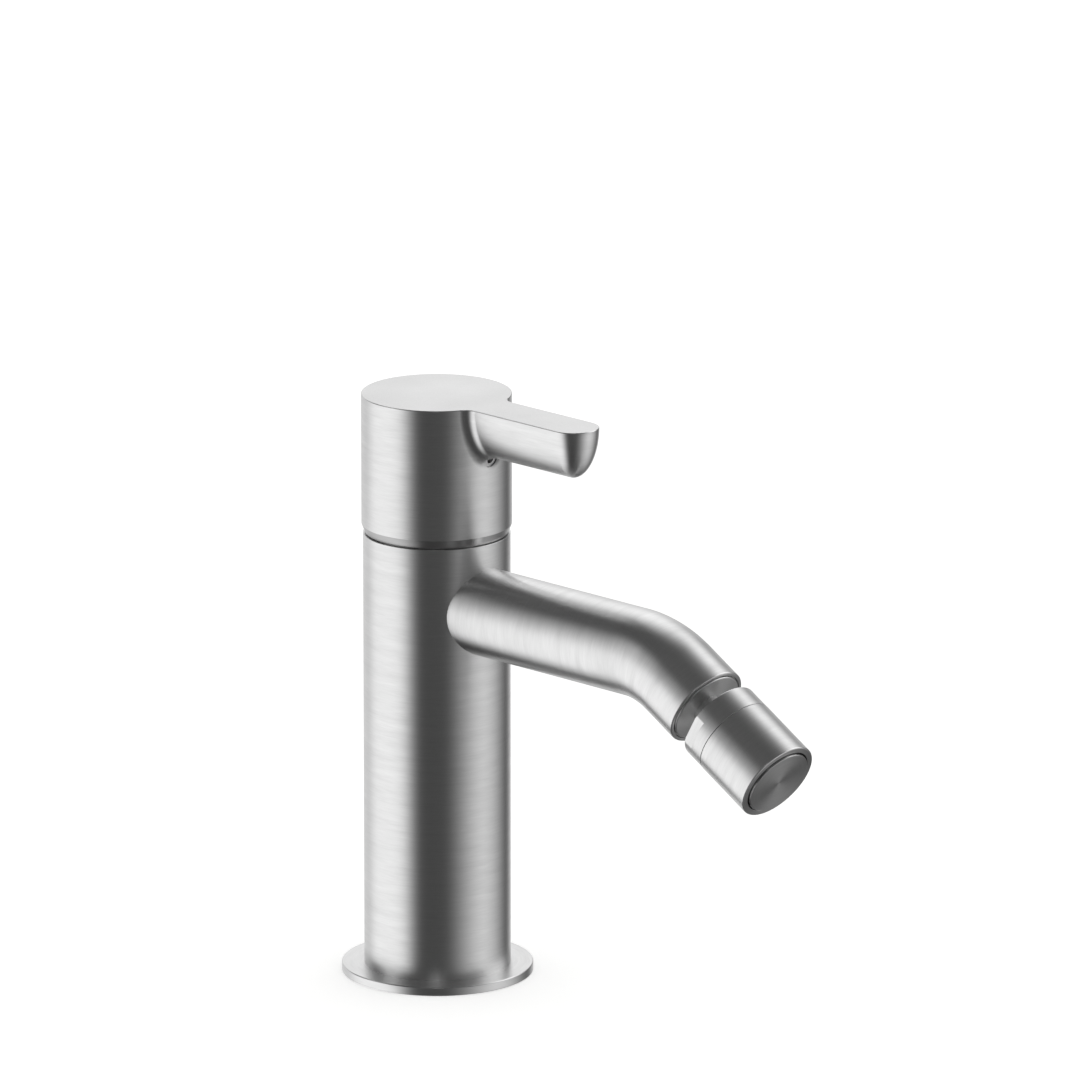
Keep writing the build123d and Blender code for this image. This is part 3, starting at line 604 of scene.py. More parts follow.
@dataclass
class Handle:
    """The turning head with its flush lever, as one surface.

    The lever's section is the lower half of an ellipse, (w cos t, -d sin t) for t from 0 to
    180 degrees. Its tip is that half turned about an upright axis. A ball of the fillet's
    radius, rolled along the joint of lever and head, gives the surface between them.
    """

    radius: float
    bottom: float
    top: float
    reach: float
    screw_radius: float
    lever_half_width: float = 6.6 * MM
    lever_depth: float = 13.3 * MM
    screw_play_mm: float = 0.05
    fillet_mm: float = 4.0
    edge_mm: float = 0.25
    skirt_chamfer_mm: float = 0.9
    skirt_height_mm: float = 2.2
    skirt_lip_mm: float = 0.5
    skirt_lip_height_mm: float = 0.8
    skirt_edge_mm: float = 0.05
    skirt_wall_mm: float = 2.3
    bore_depth_mm: float = 15.2
    hole_depth_mm: float = 5.5
    screw_tilt_deg: float = 15.0
    window_reach: float = 1.5  # of the grid laid anew round the screw's hole, in the hole's radii
    lever_grain_share: float = 0.3  # of the lever's width in its grain, which draws the lines out
    section_steps: int = 96
    arc_steps: int = 32
    tip_steps: int = 96
    lever_steps: int = 48
    wall_steps: int = 60
    back_steps: int = 240
    window_steps: int = 12
    hole_steps: int = 8
    rim_steps: int = 5
    halvings: int = 40

    @classmethod
    def from_frame(cls) -> Handle:
        """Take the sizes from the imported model.

        Returns:
            The handle.
        """
        low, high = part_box("handle")
        screw_low, screw_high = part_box("set_screw")
        hole = (screw_high.x - screw_low.x) / 2 + cls.screw_play_mm * MM
        return cls(radius=high.x, bottom=low.z, top=high.z, reach=-low.y, screw_radius=hole)

    def section(self, t: np.ndarray) -> tuple[np.ndarray, np.ndarray]:
        """Work out the lever's section, the lower half of an ellipse.

        Args:
            t: the angles, from the right edge of the flat top round to the left one.

        Returns:
            The points and the outward normals, as (x, z).
        """
        w, d = self.lever_half_width, self.lever_depth
        points = grid(w * np.cos(t), self.top - d * np.sin(t))
        normals = grid(np.cos(t) / w, -np.sin(t) / d)
        return points, normals / np.linalg.norm(normals, axis=1, keepdims=True)

    def fillet(self, t: np.ndarray, share: np.ndarray) -> tuple[np.ndarray, np.ndarray]:
        """Return points and outward normals of the rolling ball's surface.

        The ball's centre lies one fillet radius off both the lever's section and the head. Its
        arc runs by equal angles from the point that touches the lever to the one on the head.

        Args:
            t: the section angles, of any shape.
            share: the share of the way from lever to head, of the same shape.

        Returns:
            The points and the normals, each with a last axis of three.
        """
        f = self.fillet_mm * MM
        shape = t.shape
        flat_t, flat_share = t.ravel(), share.ravel()
        on_section, outward = self.section(flat_t)
        x = on_section[:, 0] + f * outward[:, 0]
        z = on_section[:, 1] + f * outward[:, 1]
        y = -np.sqrt((self.radius + f) ** 2 - x**2)
        to_lever = -grid(outward[:, 0], 0.0, outward[:, 1])
        to_head = -grid(x, y, 0.0) / (self.radius + f)
        angle = np.arccos(np.clip(np.sum(to_lever * to_head, axis=1), -1, 1))
        first = np.sin((1 - flat_share) * angle) / np.sin(angle)
        second = np.sin(flat_share * angle) / np.sin(angle)
        way = first[:, None] * to_lever + second[:, None] * to_head
        return (grid(x, y, z) + f * way).reshape(*shape, 3), (-way).reshape(*shape, 3)

    def patch(self, points: np.ndarray, normals: np.ndarray) -> Patch:
        """Make a patch whose brushing runs level round the head's axis.

        Args:
            points: the grid of points.
            normals: their normals.

        Returns:
            The patch.
        """
        angle = np.arctan2(points[..., 0], -points[..., 1])
        level = points[..., :2]
        distance = np.linalg.norm(level, axis=-1, keepdims=True)
        circle = level / np.maximum(distance, TINY) * self.radius
        grain = np.concatenate([circle, points[..., 2:]], axis=-1)
        return Patch(points, normals, grid(angle * self.radius, points[..., 2]), grain)

    def lever_patch(self, points: np.ndarray, normals: np.ndarray) -> Patch:
        """Return a patch whose brushing runs along the lever."""
        x, y, z = np.moveaxis(points, -1, 0)
        return Patch(points, normals, grid(y, z), grid(y, self.lever_grain_share * x, z))

    def screw_axis(self) -> tuple[np.ndarray, np.ndarray]:
        """Work out where the set screw sits: in the middle of the fillet, under the lever.

        Returns:
            The middle of its mouth and the way out of it.
        """
        drop = self.fillet_mm * MM * (1 - math.cos(math.pi / 4))
        mouth = np.array([0.0, -self.radius - drop, self.top - self.lever_depth - drop])
        tilt = math.radians(self.screw_tilt_deg)
        return mouth, np.array([0.0, -math.cos(tilt), -math.sin(tilt)])

    def hole_edge(self, rays: np.ndarray, centre: np.ndarray) -> np.ndarray:
        """Find where rays in the fillet's (t, share) plane meet the set screw's hole.

        Halving steps bring each ray's length to the place where its point on the fillet lies
        one hole radius from the screw's axis.

        Args:
            rays: the whole rays, (n, 2), from the centre to the patch's border.
            centre: the (t, share) place that the rays start from.

        Returns:
            The share of each ray that lies inside the hole.
        """
        mouth, way = self.screw_axis()
        low, high = np.zeros(len(rays)), np.ones(len(rays))
        for _ in range(self.halvings):
            middle = (low + high) / 2
            places = centre + middle[:, None] * rays
            points, _ = self.fillet(places[:, 0], places[:, 1])
            off = points - mouth
            off -= np.outer(off @ way, way)
            inside = np.linalg.norm(off, axis=1) < self.screw_radius
            low, high = np.where(inside, middle, low), np.where(inside, high, middle)
        return (low + high) / 2

    def fillet_patches(self, t: np.ndarray, share: np.ndarray) -> list[Patch]:
        """Make the fillet round the set screw's hole, and the hole's wall.

        Outside a window about the hole the fillet is a plain grid. Inside it, the points of
        the window's border are joined to the hole's edge along rays from the hole's centre.
        The wall of the hole is its edge carried along the screw's axis.

        Args:
            t: the section angles.
            share: the shares of the way from lever to head.

        Returns:
            The fillet's patches and the hole's wall.
        """
        middle = len(t) // 2
        right_half, _ = self.fillet(t[:middle], np.full(middle, 0.5))
        outside = np.flatnonzero(right_half[:, 0] > self.window_reach * self.screw_radius)
        left = int(outside[-1])
        right = 2 * middle - left
        patches = []
        for run in (t[: left + 1], t[right:]):
            patches.append(self.patch(*self.fillet(*np.meshgrid(run, share, indexing="ij"))))
        window = t[left : right + 1]
        border = np.concatenate(
            [
                grid(window[:-1], share[0]),
                grid(window[-1], share[:-1]),
                grid(window[:0:-1], share[-1]),
                grid(window[0], share[::-1]),
            ]
        )
        centre = np.array([math.pi / 2, 0.5])
        rays = border - centre
        inner = self.hole_edge(rays, centre)
        steps = 1 - np.linspace(0, 1, self.window_steps + 1)[:, None] * (1 - inner)
        places = centre + steps[..., None] * rays
        points, normals = self.fillet(places[..., 0], places[..., 1])
        patches.append(self.patch(points, normals))
        edge = points[-1]
        mouth, way = self.screw_axis()
        off = edge - mouth
        along = off @ way
        radial = off - np.outer(along, way)
        radial /= np.linalg.norm(radial, axis=1, keepdims=True)
        bottom = edge - np.outer(along + self.hole_depth_mm * MM, way)
        wall = np.linspace(0, 1, self.hole_steps + 1)[:, None, None] * (bottom - edge) + edge
        patches.append(self.patch(wall, np.broadcast_to(-radial, wall.shape)))
        return patches

    def lever_patches(self, t: np.ndarray) -> list[Patch]:
        """Make the lever's straight run and its round tip.

        The run carries the section from the fillet's edge to the tip's axis. The tip turns
        the section's right half about that upright axis.

        Args:
            t: the section angles.

        Returns:
            The run and the tip.
        """
        root, _ = self.fillet(t, np.zeros_like(t))
        tip_y = -(self.reach - self.lever_half_width)
        section, outward = self.section(t)
        run = np.linspace(0, 1, self.lever_steps + 1)[:, None]
        points = grid(section[:, 0], root[:, 1] + run * (tip_y - root[:, 1]), section[:, 1])
        normals = np.broadcast_to(grid(outward[:, 0], 0.0, outward[:, 1]), points.shape)
        around = np.linspace(0, math.pi, self.tip_steps + 1)[:, None]
        x, z = section[: self.section_steps + 1].T
        out_x, out_z = outward[: self.section_steps + 1].T
        tip = grid(x * np.cos(around), tip_y - x * np.sin(around), z)
        tip_normals = grid(out_x * np.cos(around), -out_x * np.sin(around), out_z)
        return [self.lever_patch(points, normals), self.lever_patch(tip, tip_normals)]

    def head_patches(self, t: np.ndarray) -> tuple[Patch, list[Patch]]:
        """Make the head's wall round the fillet's foot, and its skirt and bores.

        The wall is a cylinder whose top follows the fillet's foot and, behind it, the rim.

        Args:
            t: the section angles.

        Returns:
            The wall, and the patches of the skirt and bores.
        """
        foot, _ = self.fillet(t, np.ones_like(t))
        foot_angle = np.arctan2(foot[:, 1], foot[:, 0])
        back = np.linspace(foot_angle[0], foot_angle[-1] + 2 * math.pi, self.back_steps + 1)
        angles = np.concatenate([foot_angle[::-1][:-1], back])
        back_top = np.full(len(back), self.top - self.edge_mm * MM)
        back_top[0], back_top[-1] = foot[0, 2], foot[-1, 2]
        tops = np.concatenate([foot[::-1, 2][:-1], back_top])
        chamfer_top = self.bottom + self.skirt_height_mm * MM
        rows = np.linspace(0, 1, self.wall_steps + 1)[:, None]
        outward = unit_circle(angles)
        heights = chamfer_top + rows * (tops - chamfer_top)
        wall = grid(self.radius * outward[:, 0], self.radius * outward[:, 1], heights)
        wall_patch = self.patch(wall, np.broadcast_to(outward, wall.shape))
        wall_patch.uv = grid(angles * self.radius, heights)
        bore = self.radius - self.skirt_wall_mm * MM
        ceiling = self.bottom + self.bore_depth_mm * MM
        foot_radius = self.radius - self.skirt_chamfer_mm * MM
        lip = foot_radius - self.skirt_lip_mm * MM
        lip_top = self.bottom + self.skirt_lip_height_mm * MM
        outline = [
            (0.0, ceiling, 0.0),
            (bore, ceiling, 0.0),
            (bore, lip_top, 0.0),
            (lip, lip_top, 0.0),
            (lip, self.bottom, 0.0),
            (foot_radius, self.bottom, self.skirt_edge_mm * MM),
            (self.radius, chamfer_top, 0.0),
        ]
        return wall_patch, turned(outline, angles=angles)

    def top_patches(
        self, t: np.ndarray, share: np.ndarray, lever: np.ndarray, tip: np.ndarray
    ) -> tuple[list[Patch], Patch]:
        """Make the rounded rim along the whole outline, and the flat top inside it.

        The rim is a quarter circle in section. The top joins each point of the outline's
        right half to the mirrored point of its left half.

        Args:
            t: the section angles.
            share: the shares of the way from lever to head.
            lever: the points of the lever's straight run.
            tip: the points of the lever's tip.

        Returns:
            The rim's two halves, and the flat top.
        """
        fillet_edge, fillet_normal = self.fillet(np.full_like(share, t[0]), share)
        first = math.atan2(fillet_edge[-1, 1], fillet_edge[-1, 0])
        whole = np.linspace(first, math.pi - first, self.back_steps + 1)
        head_normal = unit_circle(whole[: self.back_steps // 2 + 1])
        head = self.radius * head_normal + UP * (self.top - self.edge_mm * MM)
        head[0] = fillet_edge[-1]
        lever_edge = lever[:, 0]
        lever_normal = np.tile([1.0, 0.0, 0.0], (len(lever_edge), 1))
        half_tip = tip[: self.tip_steps // 2 + 1, 0]
        tip_normal = unit_circle(-np.linspace(0, math.pi / 2, len(half_tip)))
        outline = np.concatenate([head[::-1], fillet_edge[::-1][1:], lever_edge[1:], half_tip[1:]])
        normal = np.concatenate(
            [head_normal[::-1], fillet_normal[::-1][1:], lever_normal[1:], tip_normal[1:]]
        )
        normal[:, 2] = 0
        normal /= np.linalg.norm(normal, axis=1, keepdims=True)
        turn = np.linspace(0, math.pi / 2, self.rim_steps + 1)[:, None, None]
        rise = UP * (self.top - outline[:, 2:])
        rim = outline - (1 - np.cos(turn)) * self.edge_mm * MM * normal + np.sin(turn) * rise
        rim[:, [0, -1], 0] = 0.0
        right = self.patch(rim, np.cos(turn) * normal + np.sin(turn) * UP)
        across = np.stack([rim[-1], rim[-1] * MIRROR])
        cap = Patch(across, np.broadcast_to(UP, across.shape), across[..., :2], across.copy())
        return [right, right.mirrored()], cap

    def build(
        self, brushed: bpy.types.Material, satin: bpy.types.Material, turned_steel_painted_shade: bpy.types.Material
    ) -> list[bpy.types.Object]:
        """Make the handle's side, its flat top and the bevelled skirt, and dress them.

        Args:
            brushed: the side's finish.
            satin: the top's finish.
            turned_steel_painted_shade: the skirt's finish, whose darker colour is painted shade.

        Returns:
            The three pieces.
        """
        start = math.asin(self.edge_mm * MM / self.lever_depth)
        t = np.linspace(start, math.pi - start, 2 * self.section_steps + 1)
        share = np.linspace(0, 1, self.arc_steps + 1)
        lever, tip = self.lever_patches(t)
        wall, skirt = self.head_patches(t)
        rim, cap = self.top_patches(t, share, lever.points, tip.points)
        side = [*self.fillet_patches(t, share), lever, tip, wall, *rim]
        return [
            skin(name, patches, "lever", "handle", steel)
            for name, patches, steel in (
                ("head_and_lever", side, brushed),
                ("head_top", [cap], satin),
                ("head_skirt", skirt, turned_steel_painted_shade),
            )
        ]


@dataclass
class Spout:
    """The bent spout tube, coped to the column, with its open end.

    A circle is carried along a straight run, an arc and a straight tail. At the column each
    line of the tube starts where it meets the column's surface, y = -sqrt(R^2 - x^2).
    """

    radius: float
    column_radius: float
    elbow: np.ndarray
    slope: float
    tail: float
    wall_mm: float = 1.0
    bend_radius_mm: float = 30.0
    edge_mm: float = 0.4
    bore_edge_mm: float = 0.1
    bore_depth_mm: float = 7.0
    round_steps: int = 128
    straight_steps: int = 32
    bend_steps: int = 40
    tail_steps: int = 20

    def path(self) -> tuple[np.ndarray, np.ndarray, np.ndarray]:
        """Work out the tube's centre line from the start of the bend: an arc and a straight line.

        Returns:
            The y, the z and the slope of its points.
        """
        bend = self.bend_radius_mm * MM
        cut = bend * math.tan(self.slope / 2)
        turn = np.linspace(0, self.slope, self.bend_steps + 1)
        arc_y = self.elbow[1] + cut - bend * np.sin(turn)
        arc_z = self.elbow[2] - bend * (1 - np.cos(turn))
        run = np.linspace(cut, self.tail - self.edge_mm * MM, self.tail_steps + 1)[1:]
        tail_y = self.elbow[1] - run * math.cos(self.slope)
        tail_z = self.elbow[2] - run * math.sin(self.slope)
        slopes = np.concatenate([turn, np.full(len(run), self.slope)])
        return np.concatenate([arc_y, tail_y]), np.concatenate([arc_z, tail_z]), slopes

    def build(self, steel: bpy.types.Material) -> bpy.types.Object:
        """Make the spout tube and dress it.

        Args:
            steel: its finish.

        Returns:
            The piece.
        """
        angles = np.linspace(0, 2 * math.pi, self.round_steps + 1)
        ring_x, ring_up = self.radius * np.cos(angles), self.radius * np.sin(angles)
        ring_x[-1], ring_up[-1] = ring_x[0], ring_up[0]
        y, z, slopes = self.path()
        sine, cosine = np.sin(slopes)[:, None], np.cos(slopes)[:, None]
        curved = grid(ring_x, y[:, None] - sine * ring_up, z[:, None] + cosine * ring_up)
        outward = grid(np.cos(angles), -sine * np.sin(angles), cosine * np.sin(angles))
        cope = -np.sqrt(self.column_radius**2 - ring_x**2)
        share = np.linspace(0, 1, self.straight_steps + 1)[:-1, None]
        straight = grid(ring_x, cope + share * (y[0] - cope), z[0] + ring_up)
        normals = np.concatenate([np.broadcast_to(outward[0], straight.shape), outward])
        steps = np.linalg.norm(np.diff(grid(y, z), axis=0), axis=1)
        beyond = np.concatenate([[0], np.cumsum(steps)]) - y[0]
        along_curve = np.broadcast_to(beyond[:, None], curved.shape[:2])
        lengths = np.concatenate([straight[..., 1] - 2 * y[0], along_curve])
        points, uv = np.concatenate([straight, curved]), grid(angles * self.radius, lengths)
        tube = Patch(points, normals, uv, grid(ring_x, ring_up, lengths))
        bore = self.radius - self.wall_mm * MM
        outline = [
            (self.radius, self.tail - self.edge_mm * MM, 0.0),
            (self.radius, self.tail, self.edge_mm * MM),
            (bore, self.tail, self.bore_edge_mm * MM),
            (bore, self.tail - self.bore_depth_mm * MM, 0.0),
        ]
        mouth = turned(outline, nozzle_axes(self.elbow, self.slope), angles)
        return skin("spout_skin", [tube, *mouth], "fixed", "spout_tube", steel)


def nozzle_axes(elbow: np.ndarray, slope: float) -> Axes:
    """Work out the axes of the spout's end: z runs out of the nozzle's mouth.

    Args:
        elbow: where the centre lines of the spout's two straight runs meet.
        slope: the angle of the second run below the level, in radians.

    Returns:
        The axes, with x to the object's right.
    """
    z = np.array([0.0, -math.cos(slope), -math.sin(slope)])
    x = np.array([1.0, 0.0, 0.0])
    return Axes(np.asarray(elbow, float), x, np.cross(z, x), z)


def span_along(node: bpy.types.Object, axes: Axes) -> tuple[float, float]:
    """Measure how far a node's first and last points lie along the axes' z.

    Args:
        node: the node's object.
        axes: the axes.

    Returns:
        The least and the greatest height over the axes' origin.
    """
    points = np.array([vertex.co for vertex in node.data.vertices])
    heights = (points - axes.origin) @ axes.z
    return float(heights.min()), float(heights.max())


@dataclass
class SpoutEnd:
    """The end plate in the spout's mouth and the ball stem that it carries."""

    axes: Axes
    plate_radius: float
    plate_front: float
    ball_centre: float
    plate_depth_mm: float = 7.2
    rim_gap_mm: float = 0.25
    rim_depth_mm: float = 1.0
    rim_edge_mm: float = 0.4
    stem_radius_mm: float = 4.0
    ball_radius_mm: float = 7.0
    bore_radius_mm: float = 2.75
    ball_steps: int = 40

    def build(self, satin: bpy.types.Material, blasted: bpy.types.Material) -> list[bpy.types.Object]:
        """Make the plate and the stem and dress them.

        Args:
            satin: the plate's finish.
            blasted: the stem's finish.

        Returns:
            The two pieces.
        """
        stem = self.stem_radius_mm * MM
        rear = self.plate_front - self.plate_depth_mm * MM
        groove_floor = self.plate_front - self.rim_depth_mm * MM
        rim = self.plate_radius - self.rim_gap_mm * MM
        plate_outline = [
            (stem, rear, 0.0),
            (self.plate_radius, rear, 0.0),
            (self.plate_radius, groove_floor, 0.0),
            (rim, groove_floor, 0.0),
            (rim, self.plate_front, self.rim_edge_mm * MM),
            (stem, self.plate_front, 0.0),
            (stem, rear, 0.0),
        ]
        ball = self.ball_radius_mm * MM
        bore = self.bore_radius_mm * MM
        start = math.asin(self.stem_radius_mm / self.ball_radius_mm)
        end = math.pi - math.asin(self.bore_radius_mm / self.ball_radius_mm)
        sweep = np.linspace(start, end, self.ball_steps + 1)
        zone = [(ball * math.sin(a), self.ball_centre - ball * math.cos(a), 0.0) for a in sweep]
        stem_outline = [(bore, rear, 0.0), (stem, rear, 0.0), *zone, (bore, rear, 0.0)]
        return [
            skin(name, turned(outline, self.axes), "fixed", replaced, finish)
            for name, outline, replaced, finish in (
                ("end_plate_skin", plate_outline, "end_plate", satin),
                ("ball_stem", stem_outline, "swivel_stem", blasted),
            )
        ]


@dataclass
class Nozzle:
    """The swivelling nozzle: a collar with two spanner flats, a sleeve and a face disc."""

    axes: Axes
    collar_rear: float
    collar_front: float
    sleeve_front: float
    collar_radius: float
    sleeve_radius: float
    socket_radius_mm: float = 8.06
    hollow_radius: float = 1.2  # inside the collar, in radii of the socket's mouth
    ball_inset_mm: float = 4.2
    flat_mm: float = 20.6
    flat_length_mm: float = 3.0
    rear_edge_mm: float = 0.4
    front_edge_mm: float = 0.35
    seam_edge_mm: float = 0.05
    seam_width_mm: float = 0.2
    seam_depth_mm: float = 0.4
    rim_width_mm: float = 1.75
    mouth_edge_mm: float = 0.2
    mouth_gap_mm: float = 0.3
    mouth_depth_mm: float = 4.0
    bore_step_mm: float = 1.2
    disc_proud_mm: float = 0.5
    disc_thickness_mm: float = 1.4
    disc_edge_mm: float = 0.25
    flat_steps: int = 12
    round_steps: int = 28
    edge_steps: int = 6
    disc_rings: int = 24

    def collar(self, steel: bpy.types.Material) -> bpy.types.Object:
        """Make the collar.

        Along the flats the radius is the smaller of the collar's own and h / |cos a|, where h
        is half the distance across the flats. The two rows at the flats' end, one on each
        radius, give the ledge.

        Args:
            steel: its finish.

        Returns:
            The piece.
        """
        edge, seam, half = (size * MM for size in (self.rear_edge_mm, self.seam_edge_mm, self.flat_mm / 2))
        flat_end = self.collar_rear + self.flat_length_mm * MM
        corner = math.acos(half / self.collar_radius)
        on_flat_side = np.linspace(0, corner, self.flat_steps + 1)
        on_round_side = np.linspace(corner, math.pi / 2, self.round_steps + 1)
        quarter = np.concatenate([on_flat_side[:-1], on_round_side])
        right = np.concatenate([-quarter[:0:-1], quarter])
        angles = np.concatenate([right, right[1:] + math.pi])
        circle, cosine = unit_circle(angles), np.cos(angles)
        mouth = math.sqrt(self.socket_radius_mm**2 - self.ball_inset_mm**2) * MM
        hollow = mouth * self.hollow_radius
        turn = np.linspace(0, math.pi / 2, self.edge_steps + 1)
        level = np.append(np.sin(turn), [1.0] * 3)[:, None, None]
        radii = np.append(self.collar_radius - edge * (1 - np.sin(turn)), [self.collar_radius] * 3)[:, None]
        round_end = self.collar_front - seam
        heights = np.append(self.collar_rear + edge * (1 - np.cos(turn)), [flat_end, flat_end, round_end])
        heights = heights[:, None]
        cut = np.arange(len(radii)) <= len(turn)
        limit = np.minimum(radii, half / np.maximum(np.abs(cosine), TINY))
        reach = np.where(cut[:, None], limit, radii)
        on_flat = (reach < radii - TINY)[..., None]
        points = self.axes.place(circle * reach[..., None] + UP * heights[..., None])
        points[0, -1] = points[0, 0]
        round_normals = circle * level - UP * np.sqrt(1 - level**2)
        normals = self.axes.turn(np.where(on_flat, grid(np.sign(cosine), 0.0, 0.0), round_normals))
        uv = grid(angles * self.collar_radius, heights)
        grain = circle * self.collar_radius + UP * heights[..., None]
        downward = np.broadcast_to(self.axes.turn(-UP), (2, len(angles), 3))
        strips = []
        for i, ledge in enumerate(cut[:-1] != cut[1:]):
            pair = slice(i, i + 2)
            strips.append(Patch(points[pair], downward if ledge else normals[pair], uv[pair], grain[pair]))
        inner = self.axes.place(circle * mouth + UP * self.collar_rear)
        strips.append(Patch(np.stack([points[0], inner]), downward, uv[[0, 0]], grain[[0, 0]]))
        outline = [
            (self.collar_radius, round_end, 0.0),
            (self.collar_radius - seam, self.collar_front, 0.0),
            (hollow, self.collar_front, 0.0),
            (hollow, self.collar_rear + self.ball_inset_mm * MM, 0.0),
            (mouth, self.collar_rear, 0.0),
        ]
        strips += turned(outline, self.axes, angles)
        return skin("nozzle_collar_skin", strips, "nozzle", "nozzle_collar", steel)

    def build(self, steel: bpy.types.Material, turned_steel_painted_shade: bpy.types.Material) -> list[bpy.types.Object]:
        """Make the sleeve, the face disc and the collar and dress them.

        Args:
            steel: the finish of the collar and of the sleeve's outside.
            turned_steel_painted_shade: the finish of the sleeve's mouth and of the disc, whose darker
                colour is painted shade.

        Returns:
            The four pieces.
        """
        front, back = self.sleeve_front, self.collar_front
        mouth = self.sleeve_radius - self.rim_width_mm * MM
        mouth_floor = front - self.mouth_depth_mm * MM
        seam_floor = self.sleeve_radius - self.seam_depth_mm * MM
        seam_end = back + self.seam_width_mm * MM
        bore = mouth - self.bore_step_mm * MM
        rim = self.sleeve_radius - self.front_edge_mm * MM
        sleeve = [
            (bore, back, 0.0),
            (seam_floor, back, 0.0),
            (seam_floor, seam_end, 0.0),
            (self.sleeve_radius, seam_end, self.seam_edge_mm * MM),
            (self.sleeve_radius, front, self.front_edge_mm * MM),
            (rim, front, 0.0),
        ]
        face = [
            (rim, front, 0.0),
            (mouth, front, self.mouth_edge_mm * MM),
            (mouth, mouth_floor, 0.0),
            (bore, mouth_floor, 0.0),
            (bore, back, 0.0),
        ]
        disc_front = front + self.disc_proud_mm * MM
        disc_rear = disc_front - self.disc_thickness_mm * MM
        disc_radius = mouth - self.mouth_gap_mm * MM
        shares = np.linspace(1, 0, self.disc_rings + 1)[1:]
        disc = [
            (0.0, disc_rear, 0.0),
            (disc_radius, disc_rear, 0.0),
            (disc_radius, disc_front, self.disc_edge_mm * MM),
            *((disc_radius * share, disc_front, 0.0) for share in shares),
        ]
        angles = even_angles(self.sleeve_radius)
        pieces = [
            skin(name, turned(outline, self.axes, steps), "nozzle", replaced, finish)
            for name, outline, steps, slot, replaced, finish in (
                ("nozzle_sleeve_skin", sleeve, angles, "brushed_stainless", "nozzle_sleeve", steel),
                ("nozzle_sleeve_face", face, angles, "brushed_stainless", "nozzle_sleeve", turned_steel_painted_shade),
                ("face_disc_skin", disc, None, "turned_stainless", "face_disc", turned_steel_painted_shade),
            )
        ]
        return [*pieces, self.collar(steel)]


@dataclass(frozen=True)
class SoftBank:
    """A round bank of soft light in the studio, seen in the metal."""

    azimuth_deg: float
    elevation_deg: float
    half_angle_deg: float
    blend_deg: float
    strength: float

    def direction(self) -> tuple[float, float, float]:
        """Return the unit vector towards the bank's middle."""
        turn, rise = math.radians(self.azimuth_deg), math.radians(self.elevation_deg)
        return math.cos(rise) * math.cos(turn), math.cos(rise) * math.sin(turn), math.sin(rise)


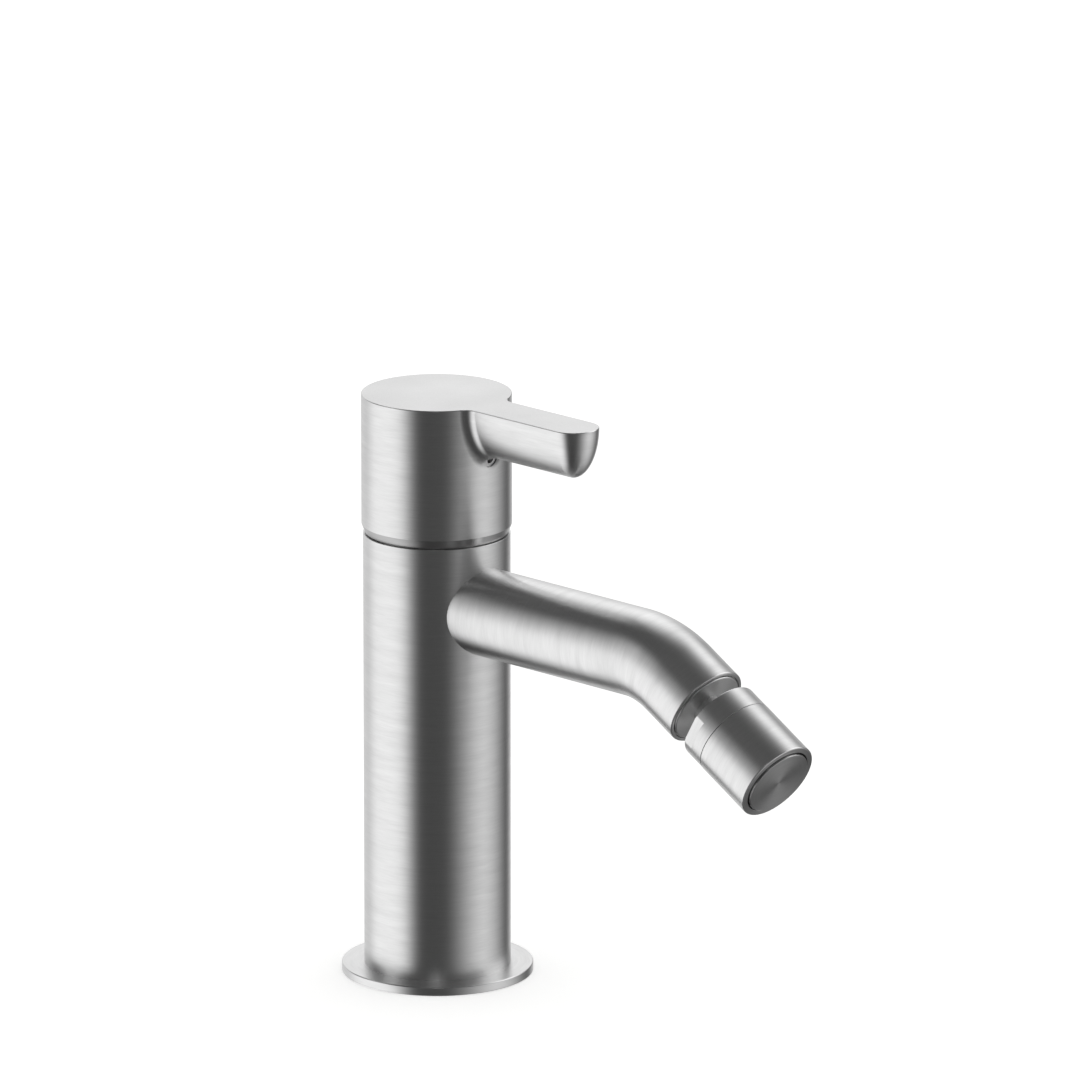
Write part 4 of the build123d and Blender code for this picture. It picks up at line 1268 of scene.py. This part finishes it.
@dataclass
class Studio:
    """White surroundings with soft light banks, a pale floor and the camera.

    The metal mirrors the banks and the dark between them, which gives its soft bands.
    """

    banks: tuple[SoftBank, ...] = (
        SoftBank(143, -24, 36, 31, 1.3),
        SoftBank(39, 46, 21, 39, 1.42),
        SoftBank(63, -11, 45, 33, 0.8),
        SoftBank(-58, -21, 28, 75, 1.07),
        SoftBank(-28, 34, 25, 25, 1.73),
        SoftBank(147, 24, 12, 30, 0.92),
        SoftBank(-136, 30, 7, 12, 1.3),
    )
    ambient: float = 0.05
    plain_light: float = 0.85
    floor_colour: str = "#F4F4F3"
    floor_glow: float = 0.35
    floor_half_width: float = 1.5
    camera_place_mm: tuple[float, float, float] = (-2293.1, -2330.7, 995.8)
    camera_aim_mm: tuple[float, float, float] = (18.79, -18.79, 115.15)
    camera_clip_end: float = 20.0
    lens_mm: float = 438.4

    def light(self) -> None:
        """Set up the world: white to the camera, banks to the metal, plain light to the rest.

        A bank's light is a smooth step of the angle between the ray and the bank's middle.
        """
        world = bpy.data.worlds.new("studio")
        world.use_nodes = True
        bpy.context.scene.world = world
        tree = world.node_tree
        tree.nodes.clear()
        way = add_node(tree, "ShaderNodeTexCoord").outputs["Generated"]
        total = self.ambient
        for bank in self.banks:
            pair = {0: way, 1: bank.direction()}
            dot = add_node(tree, "ShaderNodeVectorMath", pair, operation="DOT_PRODUCT")
            angle = add_node(tree, "ShaderNodeMath", {0: dot.outputs["Value"]}, operation="ARCCOSINE")
            ends = {
                "Value": angle.outputs[0],
                "From Min": math.radians(bank.half_angle_deg + bank.blend_deg / 2),
                "From Max": math.radians(bank.half_angle_deg - bank.blend_deg / 2),
                "To Max": bank.strength,
            }
            step = add_node(tree, "ShaderNodeMapRange", ends, interpolation_type="SMOOTHSTEP")
            both = add_node(tree, "ShaderNodeMath", {0: step.outputs[0], 1: total}, operation="ADD")
            total = both.outputs[0]
        # A Mix node's inputs 2 and 3 are its two numbers.
        paths = add_node(tree, "ShaderNodeLightPath").outputs
        plain = add_node(tree, "ShaderNodeMix", {0: paths["Is Glossy Ray"], 2: self.plain_light, 3: total})
        seen = add_node(tree, "ShaderNodeMix", {0: paths["Is Camera Ray"], 2: plain.outputs[0], 3: 1.0})
        white = {"Color": (1.0, 1.0, 1.0, 1.0), "Strength": seen.outputs[0]}
        background = add_node(tree, "ShaderNodeBackground", white)
        add_node(tree, "ShaderNodeOutputWorld", {"Surface": background.outputs[0]})

    def floor(self) -> None:
        """Make the pale floor, which the metal doesn't mirror."""
        half = self.floor_half_width
        corners = [(-half, -half, 0), (half, -half, 0), (half, half, 0), (-half, half, 0)]
        mesh = bpy.data.meshes.new("floor")
        mesh.from_pydata(corners, [], [(0, 1, 2, 3)])
        floor = bpy.data.objects.new("floor", mesh)
        bpy.context.scene.collection.objects.link(floor)
        material, tree = blank_material("studio_paper")
        paper = add_node(tree, "ShaderNodeBsdfDiffuse", {"Color": linear_colour(self.floor_colour)})
        glow = add_node(tree, "ShaderNodeEmission", {"Strength": self.floor_glow})
        both = add_node(tree, "ShaderNodeAddShader", {0: paper.outputs[0], 1: glow.outputs[0]})
        add_node(tree, "ShaderNodeOutputMaterial", {"Surface": both.outputs[0]})
        mesh.materials.append(material)
        floor.visible_glossy = False

    def camera(self) -> None:
        """Place the camera at the photograph's viewing angle."""
        data = bpy.data.cameras.new("camera")
        data.lens = self.lens_mm
        data.clip_end = self.camera_clip_end
        camera = bpy.data.objects.new("camera", data)
        place, aim = Vector(self.camera_place_mm) * MM, Vector(self.camera_aim_mm) * MM
        turn = (aim - place).to_track_quat("-Z", "Y").to_matrix().to_4x4()
        camera.matrix_world = Matrix.Translation(place) @ turn
        bpy.context.scene.collection.objects.link(camera)
        bpy.context.scene.camera = camera


def main() -> None:
    """Build the mixer's pieces in order, dress them, and set up the studio."""
    logging.basicConfig(level=logging.INFO, format="%(name)s: %(message)s")
    bpy.context.scene.view_settings.view_transform = "Standard"
    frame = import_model()
    nodes = frame["nodes"]
    slots = {part["node"]: part["material_slot"] for part in frame["record"]["subparts"]}
    hidden = {slot: finish.build() for slot, finish in HIDDEN_FINISHES.items()}
    for name, node in nodes.items():
        node.data.materials.clear()
        node.data.materials.append(hidden[slots[name]])
    # The turned steel's darker colour is painted shade on the faces that look down.
    brushed, turned_steel_painted_shade, satin, blasted = (
        finish.build() for finish in (BRUSHED, TURNED, SATIN, BLASTED)
    )

    spin = next(joint for joint in frame["joints"] if joint["name"] == "nozzle_spin")
    ball = np.array(spin["pos_m"], float)
    way = np.array(spin["axis"], float)
    slope = math.asin(-way[2])
    _, spout_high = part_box("spout_tube")
    drop = (spout_high.z - spout_high.x - ball[2]) / math.sin(slope)
    axes = nozzle_axes(ball - way * drop, slope)

    pieces = [BaseFlange.from_frame().build(brushed)]
    column = Column.from_frame()
    pieces.append(column.build(brushed))
    pieces += Handle.from_frame().build(brushed, satin, turned_steel_painted_shade)
    spout = Spout(spout_high.x, column.radius, axes.origin, slope, span_along(nodes["spout_tube"], axes)[1])
    pieces.append(spout.build(brushed))
    end = SpoutEnd(axes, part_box("end_plate")[1].x, span_along(nodes["end_plate"], axes)[1], drop)
    pieces += end.build(satin, blasted)
    nozzle = Nozzle(
        axes,
        *span_along(nodes["nozzle_collar"], axes),
        span_along(nodes["nozzle_sleeve"], axes)[1],
        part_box("nozzle_collar")[1].x,
        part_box("nozzle_sleeve")[1].x,
    )
    pieces += nozzle.build(brushed, turned_steel_painted_shade)
    for piece in pieces:
        LOG.info("%s: %d faces", piece.name, len(piece.data.polygons))

    studio = Studio()
    studio.light()
    studio.floor()
    studio.camera()


if __name__ == "__main__":
    main()
